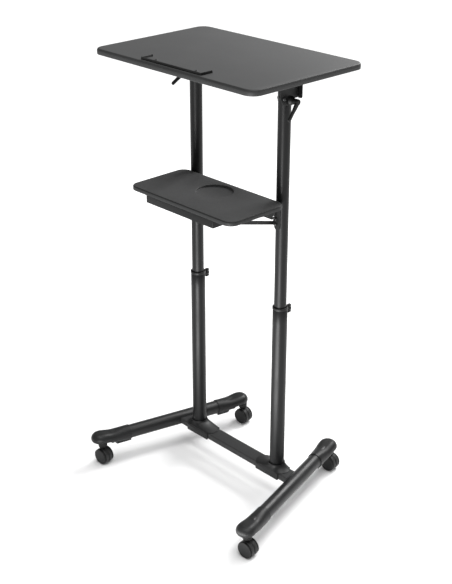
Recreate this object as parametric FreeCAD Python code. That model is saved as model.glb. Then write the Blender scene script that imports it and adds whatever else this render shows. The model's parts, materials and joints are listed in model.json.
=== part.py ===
import FreeCAD, Part
import math
import os

# A wheeled lectern: a tilting desktop on two telescopic columns, a fixed shelf between them,
# and a splayed two-foot base on four twin-wheel casters.
# Millimetres. X runs to the right along the desktop, Y away from the reader, Z up from the floor.
# The origin is on the floor, below the middle of the whole outline.

V = FreeCAD.Vector
X_AXIS = V(1, 0, 0)
Y_AXIS = V(0, 1, 0)
Z_AXIS = V(0, 0, 1)
SIDES = {"left": -1, "right": 1}

# ---- driving dimensions ----
COLUMN_X = 167.5            # each column stands this far from the middle
COLUMN_Y = 38.0             # columns stand behind the middle of the footprint

# base
FOOT_AXIS_Z = 80.5
FOOT_RADIUS = 21.0
FOOT_WALL = 1.5
FOOT_SPLAY = 15.0           # degrees: the feet open towards the reader
FOOT_MIDDLE_X = 245.5       # where a foot crosses the line through the columns
FRONT_STEM = 278.0          # along a foot, from that crossing to the front caster stem
REAR_STEM = 217.0
FRONT_NOSE = 285.5          # along a foot, to the centre of the front round nose
REAR_NOSE = 204.0
FRONT_COLLAR = 188.0        # along a foot, to the open end of the front cap
REAR_COLLAR = 118.0
NOSE_RADIUS = 28.0
NOSE_TOP_Z = 104.5
NOSE_WIDEST_Z = 86.0
NOSE_BASE_Z = 75.5          # flat underside of the nose, above the caster
CAP_RADIUS = 23.2
CAP_OVERLAP = 62.0          # how far a cap runs over its foot tube
KEEL_WIDTH = 28.0
KEEL_Z = 57.0
FRONT_KEEL = 46.0           # from the collar, before the underside ramps up over the caster
REAR_KEEL = 36.0
KEEL_RAMP = 18.0
BEAM_TOP = 89.4
BEAM_DEPTH = 46.0
BEAM_HEIGHT = 20.0
BEAM_WALL = 2.0

# shroud where a column meets the beam
SADDLE_IN = 62.0            # reach from the column axis towards the middle
SADDLE_OUT = 29.0           # and towards the foot
SADDLE_SKIN = 4.0
SADDLE_Z = 68.0
FLARE_IN = 74.0
FLARE_OUT = 42.0
FLARE_HALF_WIDTH = 27.0
FLARE_TOP = 109.5
FLARE_RIM = 24.0

# columns
OUTER_RADIUS = 21.0
OUTER_WALL = 1.5
OUTER_TOP = 612.0
INNER_RADIUS = 17.4
INNER_WALL = 1.5
INNER_BOTTOM = 446.0
INNER_TOP = 1258.0
COLLAR_RADIUS = 21.9
COLLAR_SKIRT = 608.0
COLLAR_TOP = 615.6
COLLAR_DEPTH = 30.0         # how far the collar bush reaches down inside the tube
BUSH_LENGTH = 40.0
SLIDE_GAP = 0.06            # radial running clearance of the telescope

# height clamp knob
KNOB_Z = 598.0
NUT_RADIUS = 7.0
NUT_REACH = 27.0            # from the column axis to the face of the welded nut
THREAD_RADIUS = 4.0
THREAD_GAP = 0.06
SCREW_HOLE_GAP = 0.5
KNOB_WING_START = 30.5
KNOB_WING_DEPTH = 10.0
KNOB_WING_HEIGHT = 26.0
KNOB_WING_WIDTH = 10.0
KNOB_HUB_RADIUS = 6.0
KNOB_HUB_ROUNDING = 2.0
KNOB_HUB_STEP = 2.0         # the hub starts this far before the wings
KNOB_END = 41.0

# shelf
SHELF_WIDTH = 400.0
SHELF_DEPTH = 202.0
SHELF_BACK = -19.0          # back edge, from the column axis
SHELF_TOP = 928.5
SHELF_THICKNESS = 12.0
SHELF_CORNER = 27.0
RECESS_RADIUS = 51.0
RECESS_DEPTH = 5.0
RECESS_Y = -88.0
PAN_HALF_WIDTH = 132.0
PAN_DROP = 21.5
SHEET = 2.0
RAIL_BOTTOM = 872.0
SHELF_BRACKET_BOTTOM = 847.0
SHELF_BRACKET_WIDTH = 20.0
SHELF_BRACKET_SHEET = 3.0
RAIL_HALF_WIDTH = COLUMN_X - SHELF_BRACKET_WIDTH / 2 - SHEET
RAIL_EAR = COLUMN_X - 3.0    # the rail's upper part reaches over the brackets
RAIL_EAR_GAP = 2.0
BRACE_HEIGHT = 11.0
HEEL_HEIGHT = 24.0
HEEL_WIDTH = 12.0
TOE_WIDTH = 16.0
TOE_LENGTH = 22.0
TOE_REACH = 10.0            # in front of the brace's front end
TOE_SCREW_SETBACK = 4.0
TOE_SCREW_RADIUS = 4.5
TOE_SCREW_HEIGHT = 2.4
BRACE_FRONT_Y = -190.0
BRACE_BACK_Z = 858.5
SHELF_BOLTS_Z = (863.0, 877.0)
SHELF_BOLT_X = -3.0         # from the column axis
SHELF_BOLT_RADIUS = 2.5
BOLT_HEAD_RADIUS = 4.2
BOLT_HEAD_HEIGHT = 2.6

# desktop and its tilt hinge
TOP_WIDTH = 600.0
TOP_DEPTH = 400.0
TOP_MIDDLE_Y = -47.0        # from the column axis
TOP_SURFACE = 1290.5
TOP_THICKNESS = 15.5
TOP_CORNER = 30.0
TOP_BEVEL = 5.0
PIVOT_Z = 1199.0
PIVOT_RADIUS = 4.0
PIVOT_GAP = 0.06
PIVOT_HEAD_RADIUS = 6.0
PIVOT_HEAD_HEIGHT = 2.5
WASHER_RADIUS = 10.0
CHEEK_INNER = 17.8          # from the column axis to the inside of a cheek
CHEEK_FRONT = -36.0
CHEEK_BACK = 30.0
CHEEK_CHAMFER_RISE = 18.0   # lower front corner
CHEEK_CHAMFER_RUN = 14.0
EAR_HALF = 9.0              # the round ear below the pivot
EAR_RISE = 14.0             # behind the ear the cheeks end this much higher
WING_FRONT = -28.0
CHEEK_BOTTOM = 1188.0
FLANGE_REACH = 12.0
FLANGE_RISE = 12.0          # the flange ends this much above the cheek's lowest edge
FLANGE_CHAMFER = 5.0
STOP_RADIUS = 4.0
STOP_Y = -21.6
STOP_END = 3.0              # the pin's inner end, from the column axis
STOP_DOME_RADIUS = 6.5
STOP_DOME_SINK = 2.5
STOP_RISE = 8.0             # stop pin above the pivot, gives the 0 to 40 degree range

SCREW_RADIUS = 3.6
SCREW_HEIGHT = 2.0

# book stop
STOP_BAR_LENGTH = 226.0
STOP_BAR_FRONT = -237.0     # from the column axis
STOP_BAR_DEPTH = 39.0
STOP_BAR_LIP = 6.5
STOP_BAR_SKIN = 1.5
STOP_BAR_WALL = 3.0
STOP_BAR_REBATE = 0.5       # the plate is let into the desktop by this much
STOP_BAR_SCREW_RADIUS = 4.0
STOP_BAR_SCREW_HEIGHT = 1.6

# clamp lever
LEVER_ROOT = 23.0           # hub start, from the column axis
LEVER_TIP = 48.5
LEVER_GAP = 0.3             # between washer and hub
LEVER_CAP = 5.0             # closed end of the hub
LEVER_HUB_RADIUS = 8.0
LEVER_FLANGE_RADIUS = 12.0
LEVER_FLANGE_DEPTH = 7.0
LEVER_LENGTH = 55.0
LEVER_THICKNESS = 7.0
LEVER_END_RADIUS = 5.0
LEVER_ANGLES = {"left": 210.0, "right": 234.0}   # from +Y, about +X

# casters
WHEEL_RADIUS = 25.0
WHEEL_WIDTH = 16.5
COVER_THICKNESS = 3.0
GROOVE_WIDTH = 2.0
GROOVE_DEPTH = 2.5
CASTER_WIDTH = 36.0
CASTER_TRAIL = 4.0
CASTER_TURN = 3.0           # degrees about Z
AXLE_RADIUS = 3.0
AXLE_COVER = 4.0            # wheel material outside the axle's ends
BORE_END_GAP = 0.4
HUB_GAP = 0.05
STEM_RADIUS = 5.5
STEM_GAP = 0.05
STEM_TOP = 97.0
RIB_GAP = 0.4               # between the rib and each wheel
NECK_WIDTH = 24.0           # the rib widens into the boss
NECK_HEIGHT = 30.0
CASTER_BOSS_RADIUS = 14.0
CASTER_BOSS_BOTTOM = 51.5
CASTER_GAP = 0.5            # between boss and nose

os.makedirs("parts", exist_ok=True)
SAVED = {}


# ---- small building helpers ----
def box(x_from, x_to, y_from, y_to, z_from, z_to):
    return Part.makeBox(x_to - x_from, y_to - y_from, z_to - z_from, V(x_from, y_from, z_from))


def rod(start, direction, radius, length):
    return Part.makeCylinder(radius, length, start, direction)


def pipe(start, direction, radius, wall, length):
    return rod(start, direction, radius, length).cut(rod(start, direction, radius - wall, length))


def prism(points, direction):
    """Push a flat outline of straight lines along a direction."""
    outline = Part.makePolygon(points + [points[0]])
    return Part.Face(outline).extrude(direction)


def rounded_slab(x_from, x_to, y_from, y_to, z_from, z_to, corner):
    slab = box(x_from, x_to, y_from, y_to, z_from, z_to)
    uprights = [e for e in slab.Edges if abs(e.BoundBox.ZLength - (z_to - z_from)) < 1e-6]
    return slab.makeFillet(corner, uprights)


def top_edges(shape, height):
    return [e for e in shape.Edges if e.BoundBox.ZMin > height - 1e-4]


def save(name, shape):
    shape = shape.removeSplitter()
    if not shape.isValid():
        raise ValueError("bad solid: " + name)
    shape.exportStep("parts/" + name + ".step")
    SAVED[name] = shape


def column_point(side, x=0.0, y=0.0, z=0.0):
    """A point given from a column's axis, with x counted outwards from the middle."""
    return V(side * (COLUMN_X + x), COLUMN_Y + y, z)


def column_box(side, x_from, x_to, y_from, y_to, z_from, z_to):
    ends = sorted((side * (COLUMN_X + x_from), side * (COLUMN_X + x_to)))
    return box(ends[0], ends[1], COLUMN_Y + y_from, COLUMN_Y + y_to, z_from, z_to)


def foot_direction(side):
    """Unit vector along a foot, towards the reader."""
    splay = math.radians(FOOT_SPLAY)
    return V(side * math.sin(splay), -math.cos(splay), 0)


def foot_point(side, distance, z=FOOT_AXIS_Z):
    middle = V(side * FOOT_MIDDLE_X, COLUMN_Y, z)
    return middle + foot_direction(side) * distance


# ---- base ----
def foot_tube(side):
    front = FRONT_COLLAR + CAP_OVERLAP
    back = REAR_COLLAR + CAP_OVERLAP
    return pipe(foot_point(side, -back), foot_direction(side), FOOT_RADIUS, FOOT_WALL, front + back)


def cross_beam():
    reach = FOOT_MIDDLE_X
    half = BEAM_DEPTH / 2
    bottom = BEAM_TOP - BEAM_HEIGHT
    outside = box(-reach, reach, COLUMN_Y - half, COLUMN_Y + half, bottom, BEAM_TOP)
    long_edges = [e for e in outside.Edges if e.BoundBox.XLength > reach]
    outside = outside.makeFillet(3.0, long_edges)
    inside = box(-reach, reach, COLUMN_Y - half + BEAM_WALL, COLUMN_Y + half - BEAM_WALL,
                 bottom + BEAM_WALL, BEAM_TOP - BEAM_WALL)
    beam = outside.cut(inside)
    for side in SIDES.values():
        beam = beam.cut(rod(foot_point(side, -100), foot_direction(side), FOOT_RADIUS, 200))
    return max(beam.Solids, key=lambda solid: solid.Volume)


def quarter_arc(radius, edge, side_of_equator):
    """Quarter circle in the XZ plane, from the nose's widest point to its flat top or underside."""
    half = radius * math.sqrt(0.5)
    return Part.Arc(V(edge, 0, 0),
                    V(edge - radius + half, 0, half * side_of_equator),
                    V(edge - radius, 0, radius * side_of_equator)).toShape()


def nose(centre):
    """Flattened round end of a cap: a disc with a deep rounding above and a tighter one below."""
    rise = NOSE_TOP_Z - NOSE_WIDEST_Z
    drop = NOSE_WIDEST_Z - NOSE_BASE_Z
    top_edge = NOSE_RADIUS - rise
    base_edge = NOSE_RADIUS - drop
    outline = [quarter_arc(rise, NOSE_RADIUS, 1),
               Part.makeLine(V(top_edge, 0, rise), V(0, 0, rise)),
               Part.makeLine(V(0, 0, rise), V(0, 0, -drop)),
               Part.makeLine(V(0, 0, -drop), V(base_edge, 0, -drop)),
               quarter_arc(drop, NOSE_RADIUS, -1)]
    solid = Part.Face(Part.Wire(Part.__sortEdges__(outline))).revolve(V(0, 0, 0), Z_AXIS, 360)
    solid.translate(V(centre.x, centre.y, NOSE_WIDEST_Z))
    return solid


def foot_cap(side, front):
    """Plastic end of a foot: sleeve over the tube, keel below it, round nose over the caster."""
    outward = foot_direction(side) * (1 if front else -1)
    collar = foot_point(side, FRONT_COLLAR if front else -REAR_COLLAR)
    nose_at = foot_point(side, FRONT_NOSE if front else -REAR_NOSE)
    stem_at = foot_point(side, FRONT_STEM if front else -REAR_STEM, NOSE_BASE_Z)
    sleeve = rod(collar, outward, CAP_RADIUS, (nose_at - collar).Length)
    across = V(outward.y, -outward.x, 0)
    keel_length = FRONT_KEEL if front else REAR_KEEL
    arch = keel_length + KEEL_RAMP
    keel_side = V(collar.x, collar.y, KEEL_Z) - across * (KEEL_WIDTH / 2)
    rise = Z_AXIS * (FOOT_AXIS_Z - KEEL_Z)
    keel = prism([keel_side, keel_side + outward * arch, keel_side + outward * arch + rise,
                  keel_side + rise], across * KEEL_WIDTH)
    clear_side = V(collar.x, collar.y, KEEL_Z) - across * (2 * NOSE_RADIUS)
    clear_rise = Z_AXIS * (NOSE_BASE_Z - KEEL_Z)
    far = outward * (2 * arch)
    clearance = prism([clear_side + outward * keel_length, clear_side + outward * arch + clear_rise,
                       clear_side + far + clear_rise, clear_side + far], across * (4 * NOSE_RADIUS))
    cap = sleeve.fuse(keel).cut(clearance).fuse(nose(nose_at))
    cap = cap.cut(rod(collar, outward, FOOT_RADIUS, CAP_OVERLAP))
    return cap.cut(rod(stem_at, Z_AXIS, STEM_RADIUS + STEM_GAP, STEM_TOP - NOSE_BASE_Z + 1))


def stadium(side, inner, outer, half_width, z):
    """A round-ended outline that lies flat around a column."""
    inner_centre = column_point(side, half_width - inner, 0, z)
    outer_centre = column_point(side, outer - half_width, 0, z)
    step = V(0, half_width, 0)
    lines = [Part.makeLine(inner_centre + step, outer_centre + step),
             Part.makeLine(outer_centre - step, inner_centre - step)]
    bulge = V(side * half_width, 0, 0)
    arcs = [Part.Arc(outer_centre + step, outer_centre + bulge, outer_centre - step).toShape(),
            Part.Arc(inner_centre - step, inner_centre - bulge, inner_centre + step).toShape()]
    return Part.Wire(Part.__sortEdges__([lines[0], arcs[0], lines[1], arcs[1]]))


def column_shroud(side):
    """Moulded cover: a saddle round the beam that flares up into a ring round the column."""
    half = BEAM_DEPTH / 2 + SADDLE_SKIN
    saddle = column_box(side, -SADDLE_IN, SADDLE_OUT, -half, half, SADDLE_Z, BEAM_TOP)
    saddle = saddle.makeFillet(2.5, [e for e in saddle.Edges if e.BoundBox.ZLength > 5])
    clear = BEAM_DEPTH / 2
    saddle = saddle.cut(column_box(side, -SADDLE_IN, SADDLE_OUT, -clear, clear, 0, BEAM_TOP))
    rise = FLARE_TOP - BEAM_TOP
    spread_in = FLARE_IN - FLARE_RIM
    spread_out = FLARE_OUT - FLARE_RIM
    sections = []
    for part_up in (0.0, 0.12, 0.35, 0.65, 1.0):
        left_over = (1 - part_up) ** 2
        width = FLARE_RIM + (FLARE_HALF_WIDTH - FLARE_RIM) * left_over
        sections.append(stadium(side, FLARE_RIM + spread_in * left_over + 0.2,
                                FLARE_RIM + spread_out * left_over + 0.2, width,
                                BEAM_TOP + rise * part_up))
    flare = Part.makeLoft(sections, True, True)
    bore = rod(column_point(side, 0, 0, BEAM_TOP - 1), Z_AXIS, OUTER_RADIUS, 2 * rise)
    return saddle.fuse(flare).cut(bore)


def knob_hole(side, gap):
    """Round hole from a column's axis out through its far side, for the knob's screw."""
    return rod(column_point(side, 0, 0, KNOB_Z), Y_AXIS, THREAD_RADIUS + gap, 2 * OUTER_RADIUS)


def outer_tube(side):
    tube = pipe(column_point(side, 0, 0, BEAM_TOP), Z_AXIS, OUTER_RADIUS, OUTER_WALL,
                OUTER_TOP - BEAM_TOP)
    return tube.cut(knob_hole(side, SCREW_HOLE_GAP))


def tube_collar(side):
    """Plastic bush: a rim that caps the outer tube and a sleeve that guides the inner one."""
    bore = INNER_RADIUS + SLIDE_GAP
    bottom = OUTER_TOP - COLLAR_DEPTH
    rim = rod(column_point(side, 0, 0, COLLAR_SKIRT), Z_AXIS, COLLAR_RADIUS,
              COLLAR_TOP - COLLAR_SKIRT)
    rim = rim.makeFillet(0.8, top_edges(rim, COLLAR_TOP))
    rim = rim.cut(rod(column_point(side, 0, 0, COLLAR_SKIRT), Z_AXIS, OUTER_RADIUS,
                      OUTER_TOP - COLLAR_SKIRT))
    sleeve = rod(column_point(side, 0, 0, bottom), Z_AXIS, OUTER_RADIUS - OUTER_WALL, COLLAR_DEPTH)
    collar = rim.fuse(sleeve).cut(rod(column_point(side, 0, 0, bottom), Z_AXIS, bore, 2 * COLLAR_DEPTH))
    return collar.cut(knob_hole(side, SCREW_HOLE_GAP))


def knob_nut(side):
    nut = rod(column_point(side, 0, OUTER_RADIUS - 3, KNOB_Z), Y_AXIS, NUT_RADIUS,
              NUT_REACH - OUTER_RADIUS + 3)
    nut = nut.cut(rod(column_point(side, 0, 0, KNOB_Z - OUTER_RADIUS), Z_AXIS, OUTER_RADIUS,
                      2 * OUTER_RADIUS))
    return nut.cut(knob_hole(side, THREAD_GAP))


def height_knob(side):
    """T-shaped clamp knob with its screw, which bears on the inner tube."""
    screw_start = INNER_RADIUS + 0.4
    screw = rod(column_point(side, 0, screw_start, KNOB_Z), Y_AXIS, THREAD_RADIUS,
                KNOB_WING_START - screw_start + 1)
    hub_start = KNOB_WING_START - KNOB_HUB_STEP
    hub = rod(column_point(side, 0, hub_start, KNOB_Z), Y_AXIS, KNOB_HUB_RADIUS, KNOB_END - hub_start)
    hub = hub.makeFillet(KNOB_HUB_ROUNDING,
                         [e for e in hub.Edges if e.BoundBox.YMin > COLUMN_Y + KNOB_END - 1])
    half = KNOB_WING_WIDTH / 2
    outer_end = COLUMN_Y + KNOB_WING_START + KNOB_WING_DEPTH
    wing = column_box(side, -half, half, KNOB_WING_START, KNOB_WING_START + KNOB_WING_DEPTH,
                      KNOB_Z - KNOB_WING_HEIGHT / 2, KNOB_Z + KNOB_WING_HEIGHT / 2)
    wing = wing.makeFillet(3.0, [e for e in wing.Edges if e.BoundBox.YLength > KNOB_WING_DEPTH - 1])
    wing = wing.makeFillet(1.2, [e for e in wing.Edges if e.BoundBox.YMin > outer_end - 1])
    return screw.fuse(hub).fuse(wing)


# ---- telescopic columns ----
def inner_tube(side):
    tube = pipe(column_point(side, 0, 0, INNER_BOTTOM), Z_AXIS, INNER_RADIUS, INNER_WALL,
                INNER_TOP - INNER_BOTTOM)
    hole = rod(column_point(side, -30, 0, PIVOT_Z), X_AXIS * side, PIVOT_RADIUS + PIVOT_GAP, 60)
    return tube.cut(hole)


def guide_bush(side):
    """Plastic foot of an inner tube, which slides in the outer tube."""
    radius = OUTER_RADIUS - OUTER_WALL - SLIDE_GAP
    bottom = INNER_BOTTOM - 6
    body = rod(column_point(side, 0, 0, bottom), Z_AXIS, radius, BUSH_LENGTH)
    body = body.cut(rod(column_point(side, 0, 0, INNER_BOTTOM), Z_AXIS, INNER_RADIUS, BUSH_LENGTH))
    return body.cut(rod(column_point(side, 0, 0, bottom), Z_AXIS, INNER_RADIUS - 3, 10))


def tube_plugs():
    plugs = []
    for side in SIDES.values():
        cap = rod(column_point(side, 0, 0, INNER_TOP), Z_AXIS, INNER_RADIUS, 2.0)
        cap = cap.makeFillet(1.0, top_edges(cap, INNER_TOP + 2.0))
        body = rod(column_point(side, 0, 0, INNER_TOP - 18), Z_AXIS, INNER_RADIUS - INNER_WALL, 18)
        plugs.append(cap.fuse(body))
    return Part.makeCompound(plugs)


# ---- shelf ----
def shelf_tray():
    back = COLUMN_Y + SHELF_BACK
    half = SHELF_WIDTH / 2
    tray = rounded_slab(-half, half, back - SHELF_DEPTH, back, SHELF_TOP - SHELF_THICKNESS,
                        SHELF_TOP, SHELF_CORNER)
    tray = tray.makeFillet(3.0, top_edges(tray, SHELF_TOP))
    recess = rod(V(0, COLUMN_Y + RECESS_Y, SHELF_TOP - RECESS_DEPTH), Z_AXIS, RECESS_RADIUS, 20)
    return tray.cut(recess)


def shelf_pan():
    """Folded steel sheet under the tray, with a flange down at the front and at both ends."""
    top = SHELF_TOP - SHELF_THICKNESS
    front = COLUMN_Y + SHELF_BACK - SHELF_DEPTH + 3
    back = COLUMN_Y + SHELF_BACK - 5
    outside = box(-PAN_HALF_WIDTH, PAN_HALF_WIDTH, front, back, top - PAN_DROP, top)
    outside = outside.makeFillet(3.0, [e for e in outside.Edges
                                       if e.BoundBox.ZLength > 5 and e.BoundBox.YMin < front + 1])
    inside = box(SHEET - PAN_HALF_WIDTH, PAN_HALF_WIDTH - SHEET, front + SHEET, back,
                 top - PAN_DROP, top - SHEET)
    return outside.cut(inside)


def shelf_rear_rail():
    """Upright steel strip between the columns, folded forward along its lower edge."""
    face = COLUMN_Y + SHELF_BACK - 3
    top = SHELF_TOP - SHELF_THICKNESS
    upright = box(-RAIL_HALF_WIDTH, RAIL_HALF_WIDTH, face - SHEET, face, RAIL_BOTTOM, top)
    ears = box(-RAIL_EAR, RAIL_EAR, face - SHEET, face, BRACE_BACK_Z + HEEL_HEIGHT + RAIL_EAR_GAP, top)
    fold = box(-PAN_HALF_WIDTH + 10, PAN_HALF_WIDTH - 10, face - 12, face, RAIL_BOTTOM,
               RAIL_BOTTOM + SHEET)
    return upright.fuse(ears).fuse(fold)


def shelf_bracket(side):
    """Steel strip on the front of a column that carries the rail, the brace and the tray."""
    half = SHELF_BRACKET_WIDTH / 2
    strip = column_box(side, -half, half, -INNER_RADIUS - SHELF_BRACKET_SHEET, -INNER_RADIUS,
                       SHELF_BRACKET_BOTTOM, SHELF_TOP - SHELF_THICKNESS)
    strip = strip.makeFillet(6.0, [e for e in strip.Edges
                                   if e.BoundBox.YLength > SHELF_BRACKET_SHEET - 0.1
                                   and e.BoundBox.ZMax < SHELF_BRACKET_BOTTOM + 1])
    return drill_shelf_bolts(strip, side)


def drill_shelf_bolts(shape, side):
    for height in SHELF_BOLTS_Z:
        start = column_point(side, SHELF_BOLT_X, -2 * INNER_RADIUS, height)
        shape = shape.cut(rod(start, Y_AXIS, SHELF_BOLT_RADIUS, 3 * INNER_RADIUS))
    return shape


def shelf_brace(side):
    """Sloping flat bar from the column bracket up to the front of the tray."""
    top = SHELF_TOP - SHELF_THICKNESS
    plane = -SHELF_BRACKET_WIDTH / 2 - SHEET
    back_y = -INNER_RADIUS - SHELF_BRACKET_SHEET
    corners = [(back_y, BRACE_BACK_Z), (back_y, BRACE_BACK_Z + BRACE_HEIGHT),
               (BRACE_FRONT_Y, top), (BRACE_FRONT_Y, top - BRACE_HEIGHT)]
    outline = [column_point(side, plane, y, z) for y, z in corners]
    bar = prism(outline, V(side * SHEET, 0, 0))
    heel = column_box(side, plane, plane + HEEL_WIDTH + SHEET, back_y - SHEET, back_y, BRACE_BACK_Z,
                      BRACE_BACK_Z + HEEL_HEIGHT)
    heel = drill_shelf_bolts(heel, side)
    toe_front = BRACE_FRONT_Y - TOE_REACH
    toe = column_box(side, plane, plane + TOE_WIDTH, toe_front, toe_front + TOE_LENGTH,
                     top - SHEET, top)
    return bar.fuse(heel).fuse(toe)


def shelf_bolts():
    """Bolts through brace, bracket and column front, and the screws up into the tray."""
    top = SHELF_TOP - SHELF_THICKNESS
    bolts = []
    for side in SIDES.values():
        face = -INNER_RADIUS - SHELF_BRACKET_SHEET - SHEET
        for height in SHELF_BOLTS_Z:
            head = rod(column_point(side, SHELF_BOLT_X, face - BOLT_HEAD_HEIGHT, height), Y_AXIS,
                       BOLT_HEAD_RADIUS, BOLT_HEAD_HEIGHT)
            head = head.makeFillet(1.4, [e for e in head.Edges
                                         if e.BoundBox.YMax < COLUMN_Y + face - BOLT_HEAD_HEIGHT / 2])
            shank = rod(column_point(side, SHELF_BOLT_X, face, height), Y_AXIS, SHELF_BOLT_RADIUS,
                        SHEET + SHELF_BRACKET_SHEET)
            bolts.append(head.fuse(shank))
        toe_middle = -SHELF_BRACKET_WIDTH / 2 - SHEET + TOE_WIDTH / 2
        toe_screw = column_point(side, toe_middle, BRACE_FRONT_Y - TOE_SCREW_SETBACK,
                                 top - SHEET - TOE_SCREW_HEIGHT)
        bolts.append(rod(toe_screw, Z_AXIS, TOE_SCREW_RADIUS, TOE_SCREW_HEIGHT))
    return Part.makeCompound(bolts)


# ---- desktop ----
def table_top():
    half = TOP_WIDTH / 2
    middle = COLUMN_Y + TOP_MIDDLE_Y
    board = rounded_slab(-half, half, middle - TOP_DEPTH / 2, middle + TOP_DEPTH / 2,
                         TOP_SURFACE - TOP_THICKNESS, TOP_SURFACE, TOP_CORNER)
    board = board.makeFillet(TOP_BEVEL, top_edges(board, TOP_SURFACE))
    under = [e for e in board.Edges if e.BoundBox.ZMax < TOP_SURFACE - TOP_THICKNESS + 1e-4]
    board = board.makeChamfer(1.0, under)
    return board.cut(book_stop_block(TOP_SURFACE + STOP_BAR_LIP))


def tilt_bracket(side):
    """Folded steel bracket: a web under the desktop, a deep outer cheek and a narrow inner one."""
    under = TOP_SURFACE - TOP_THICKNESS
    outer = CHEEK_INNER + SHEET
    bracket = column_box(side, -outer, outer, CHEEK_FRONT, CHEEK_BACK, under - SHEET, under)
    ear = [(EAR_HALF, CHEEK_BOTTOM), (EAR_HALF + 5, CHEEK_BOTTOM + EAR_RISE),
           (CHEEK_BACK, CHEEK_BOTTOM + EAR_RISE), (CHEEK_BACK, under)]
    fronts = {CHEEK_INNER: [(CHEEK_FRONT, under), (CHEEK_FRONT, CHEEK_BOTTOM + CHEEK_CHAMFER_RISE),
                            (CHEEK_FRONT + CHEEK_CHAMFER_RUN, CHEEK_BOTTOM)],
              -outer: [(-EAR_HALF, under), (-EAR_HALF, CHEEK_BOTTOM)]}
    for cheek_from, front in fronts.items():
        points = [column_point(side, cheek_from, y, z) for y, z in front + ear]
        cheek = prism(points, V(side * SHEET, 0, 0))
        rounded = [e for e in cheek.Edges
                   if e.BoundBox.XLength > SHEET - 0.01 and e.BoundBox.ZMax < CHEEK_BOTTOM + 1]
        bracket = bracket.fuse(cheek.makeFillet(6.0, rounded))
    flange = column_box(side, CHEEK_INNER, outer + FLANGE_REACH, CHEEK_BACK, CHEEK_BACK + SHEET,
                        CHEEK_BOTTOM + FLANGE_RISE, under)
    flange_foot = [e for e in flange.Edges
                   if e.BoundBox.YLength > SHEET - 0.01
                   and e.BoundBox.ZMax < CHEEK_BOTTOM + FLANGE_RISE + 1
                   and side * e.CenterOfMass.x > COLUMN_X + outer]
    flange = flange.makeChamfer(FLANGE_CHAMFER, flange_foot)
    wing = column_box(side, outer, outer + FLANGE_REACH, WING_FRONT, CHEEK_BACK, under - SHEET, under)
    bracket = bracket.fuse(flange).fuse(wing)
    through = 4 * CHEEK_INNER
    hinge = rod(column_point(side, -through / 2, 0, PIVOT_Z), X_AXIS * side, PIVOT_RADIUS, through)
    stop = rod(column_point(side, 0, STOP_Y, PIVOT_Z + STOP_RISE), X_AXIS * side, STOP_RADIUS, through)
    return bracket.cut(hinge).cut(stop)


def pivot_bolt(side):
    """Bolt through both cheeks and the column; its outer end carries the clamp lever."""
    outer = CHEEK_INNER + SHEET
    shank = rod(column_point(side, -outer, 0, PIVOT_Z), X_AXIS * side, PIVOT_RADIUS,
                outer + LEVER_TIP - LEVER_CAP - 1)
    head = rod(column_point(side, -outer - PIVOT_HEAD_HEIGHT, 0, PIVOT_Z), X_AXIS * side,
               PIVOT_HEAD_RADIUS, PIVOT_HEAD_HEIGHT)
    washer = rod(column_point(side, outer, 0, PIVOT_Z), X_AXIS * side, WASHER_RADIUS,
                 LEVER_ROOT - LEVER_GAP - outer)
    return shank.fuse(head).fuse(washer)


def stop_bolts():
    """Pins from the outer cheeks, in front of the columns, that limit the tilt."""
    outer = CHEEK_INNER + SHEET
    height = PIVOT_Z + STOP_RISE
    pins = []
    for side in SIDES.values():
        shank = rod(column_point(side, STOP_END, STOP_Y, height), X_AXIS * side, STOP_RADIUS,
                    outer - STOP_END)
        dome = Part.makeSphere(STOP_DOME_RADIUS, column_point(side, outer - STOP_DOME_SINK, STOP_Y, height))
        around = 2 * STOP_DOME_RADIUS
        dome = dome.common(column_box(side, outer, outer + around, STOP_Y - around, STOP_Y + around,
                                      height - around, height + around))
        pins.append(shank.fuse(dome))
    return Part.makeCompound(pins)


def clamp_lever(name):
    """Clamp handle: a hub on the end of the pivot bolt and a flat arm hanging from it."""
    side = SIDES[name]
    hub = rod(column_point(side, LEVER_ROOT, 0, PIVOT_Z), X_AXIS * side, LEVER_HUB_RADIUS,
              LEVER_TIP - LEVER_ROOT)
    hub = hub.makeFillet(2.0, [e for e in hub.Edges
                               if side * e.CenterOfMass.x > COLUMN_X + LEVER_TIP - 1])
    flange = Part.makeCone(LEVER_FLANGE_RADIUS, LEVER_HUB_RADIUS, LEVER_FLANGE_DEPTH,
                           column_point(side, LEVER_ROOT, 0, PIVOT_Z), X_AXIS * side)
    arm_from = LEVER_TIP - LEVER_THICKNESS
    root_half = LEVER_HUB_RADIUS - 1.0
    reach = LEVER_LENGTH - LEVER_END_RADIUS
    outline = [(0, -root_half), (reach, -LEVER_END_RADIUS), (reach, LEVER_END_RADIUS), (0, root_half)]
    points = [column_point(side, arm_from, y, PIVOT_Z + z) for y, z in outline]
    arm = prism(points, V(side * LEVER_THICKNESS, 0, 0))
    end = rod(column_point(side, arm_from, reach, PIVOT_Z), X_AXIS * side, LEVER_END_RADIUS,
              LEVER_THICKNESS)
    arm = arm.fuse(end)
    arm.rotate(column_point(side, 0, 0, PIVOT_Z), X_AXIS, LEVER_ANGLES[name])
    lever = hub.fuse(flange).fuse(arm)
    bore = rod(column_point(side, LEVER_ROOT, 0, PIVOT_Z), X_AXIS * side,
               PIVOT_RADIUS + PIVOT_GAP, LEVER_TIP - LEVER_ROOT - LEVER_CAP)
    return lever.cut(bore)


def book_stop_block(top):
    """Outer outline of the book stop, from the bottom of its rebate up to a height."""
    half = STOP_BAR_LENGTH / 2
    front = COLUMN_Y + STOP_BAR_FRONT
    return rounded_slab(-half, half, front, front + STOP_BAR_DEPTH, TOP_SURFACE - STOP_BAR_REBATE,
                        top, 2.0)


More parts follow.
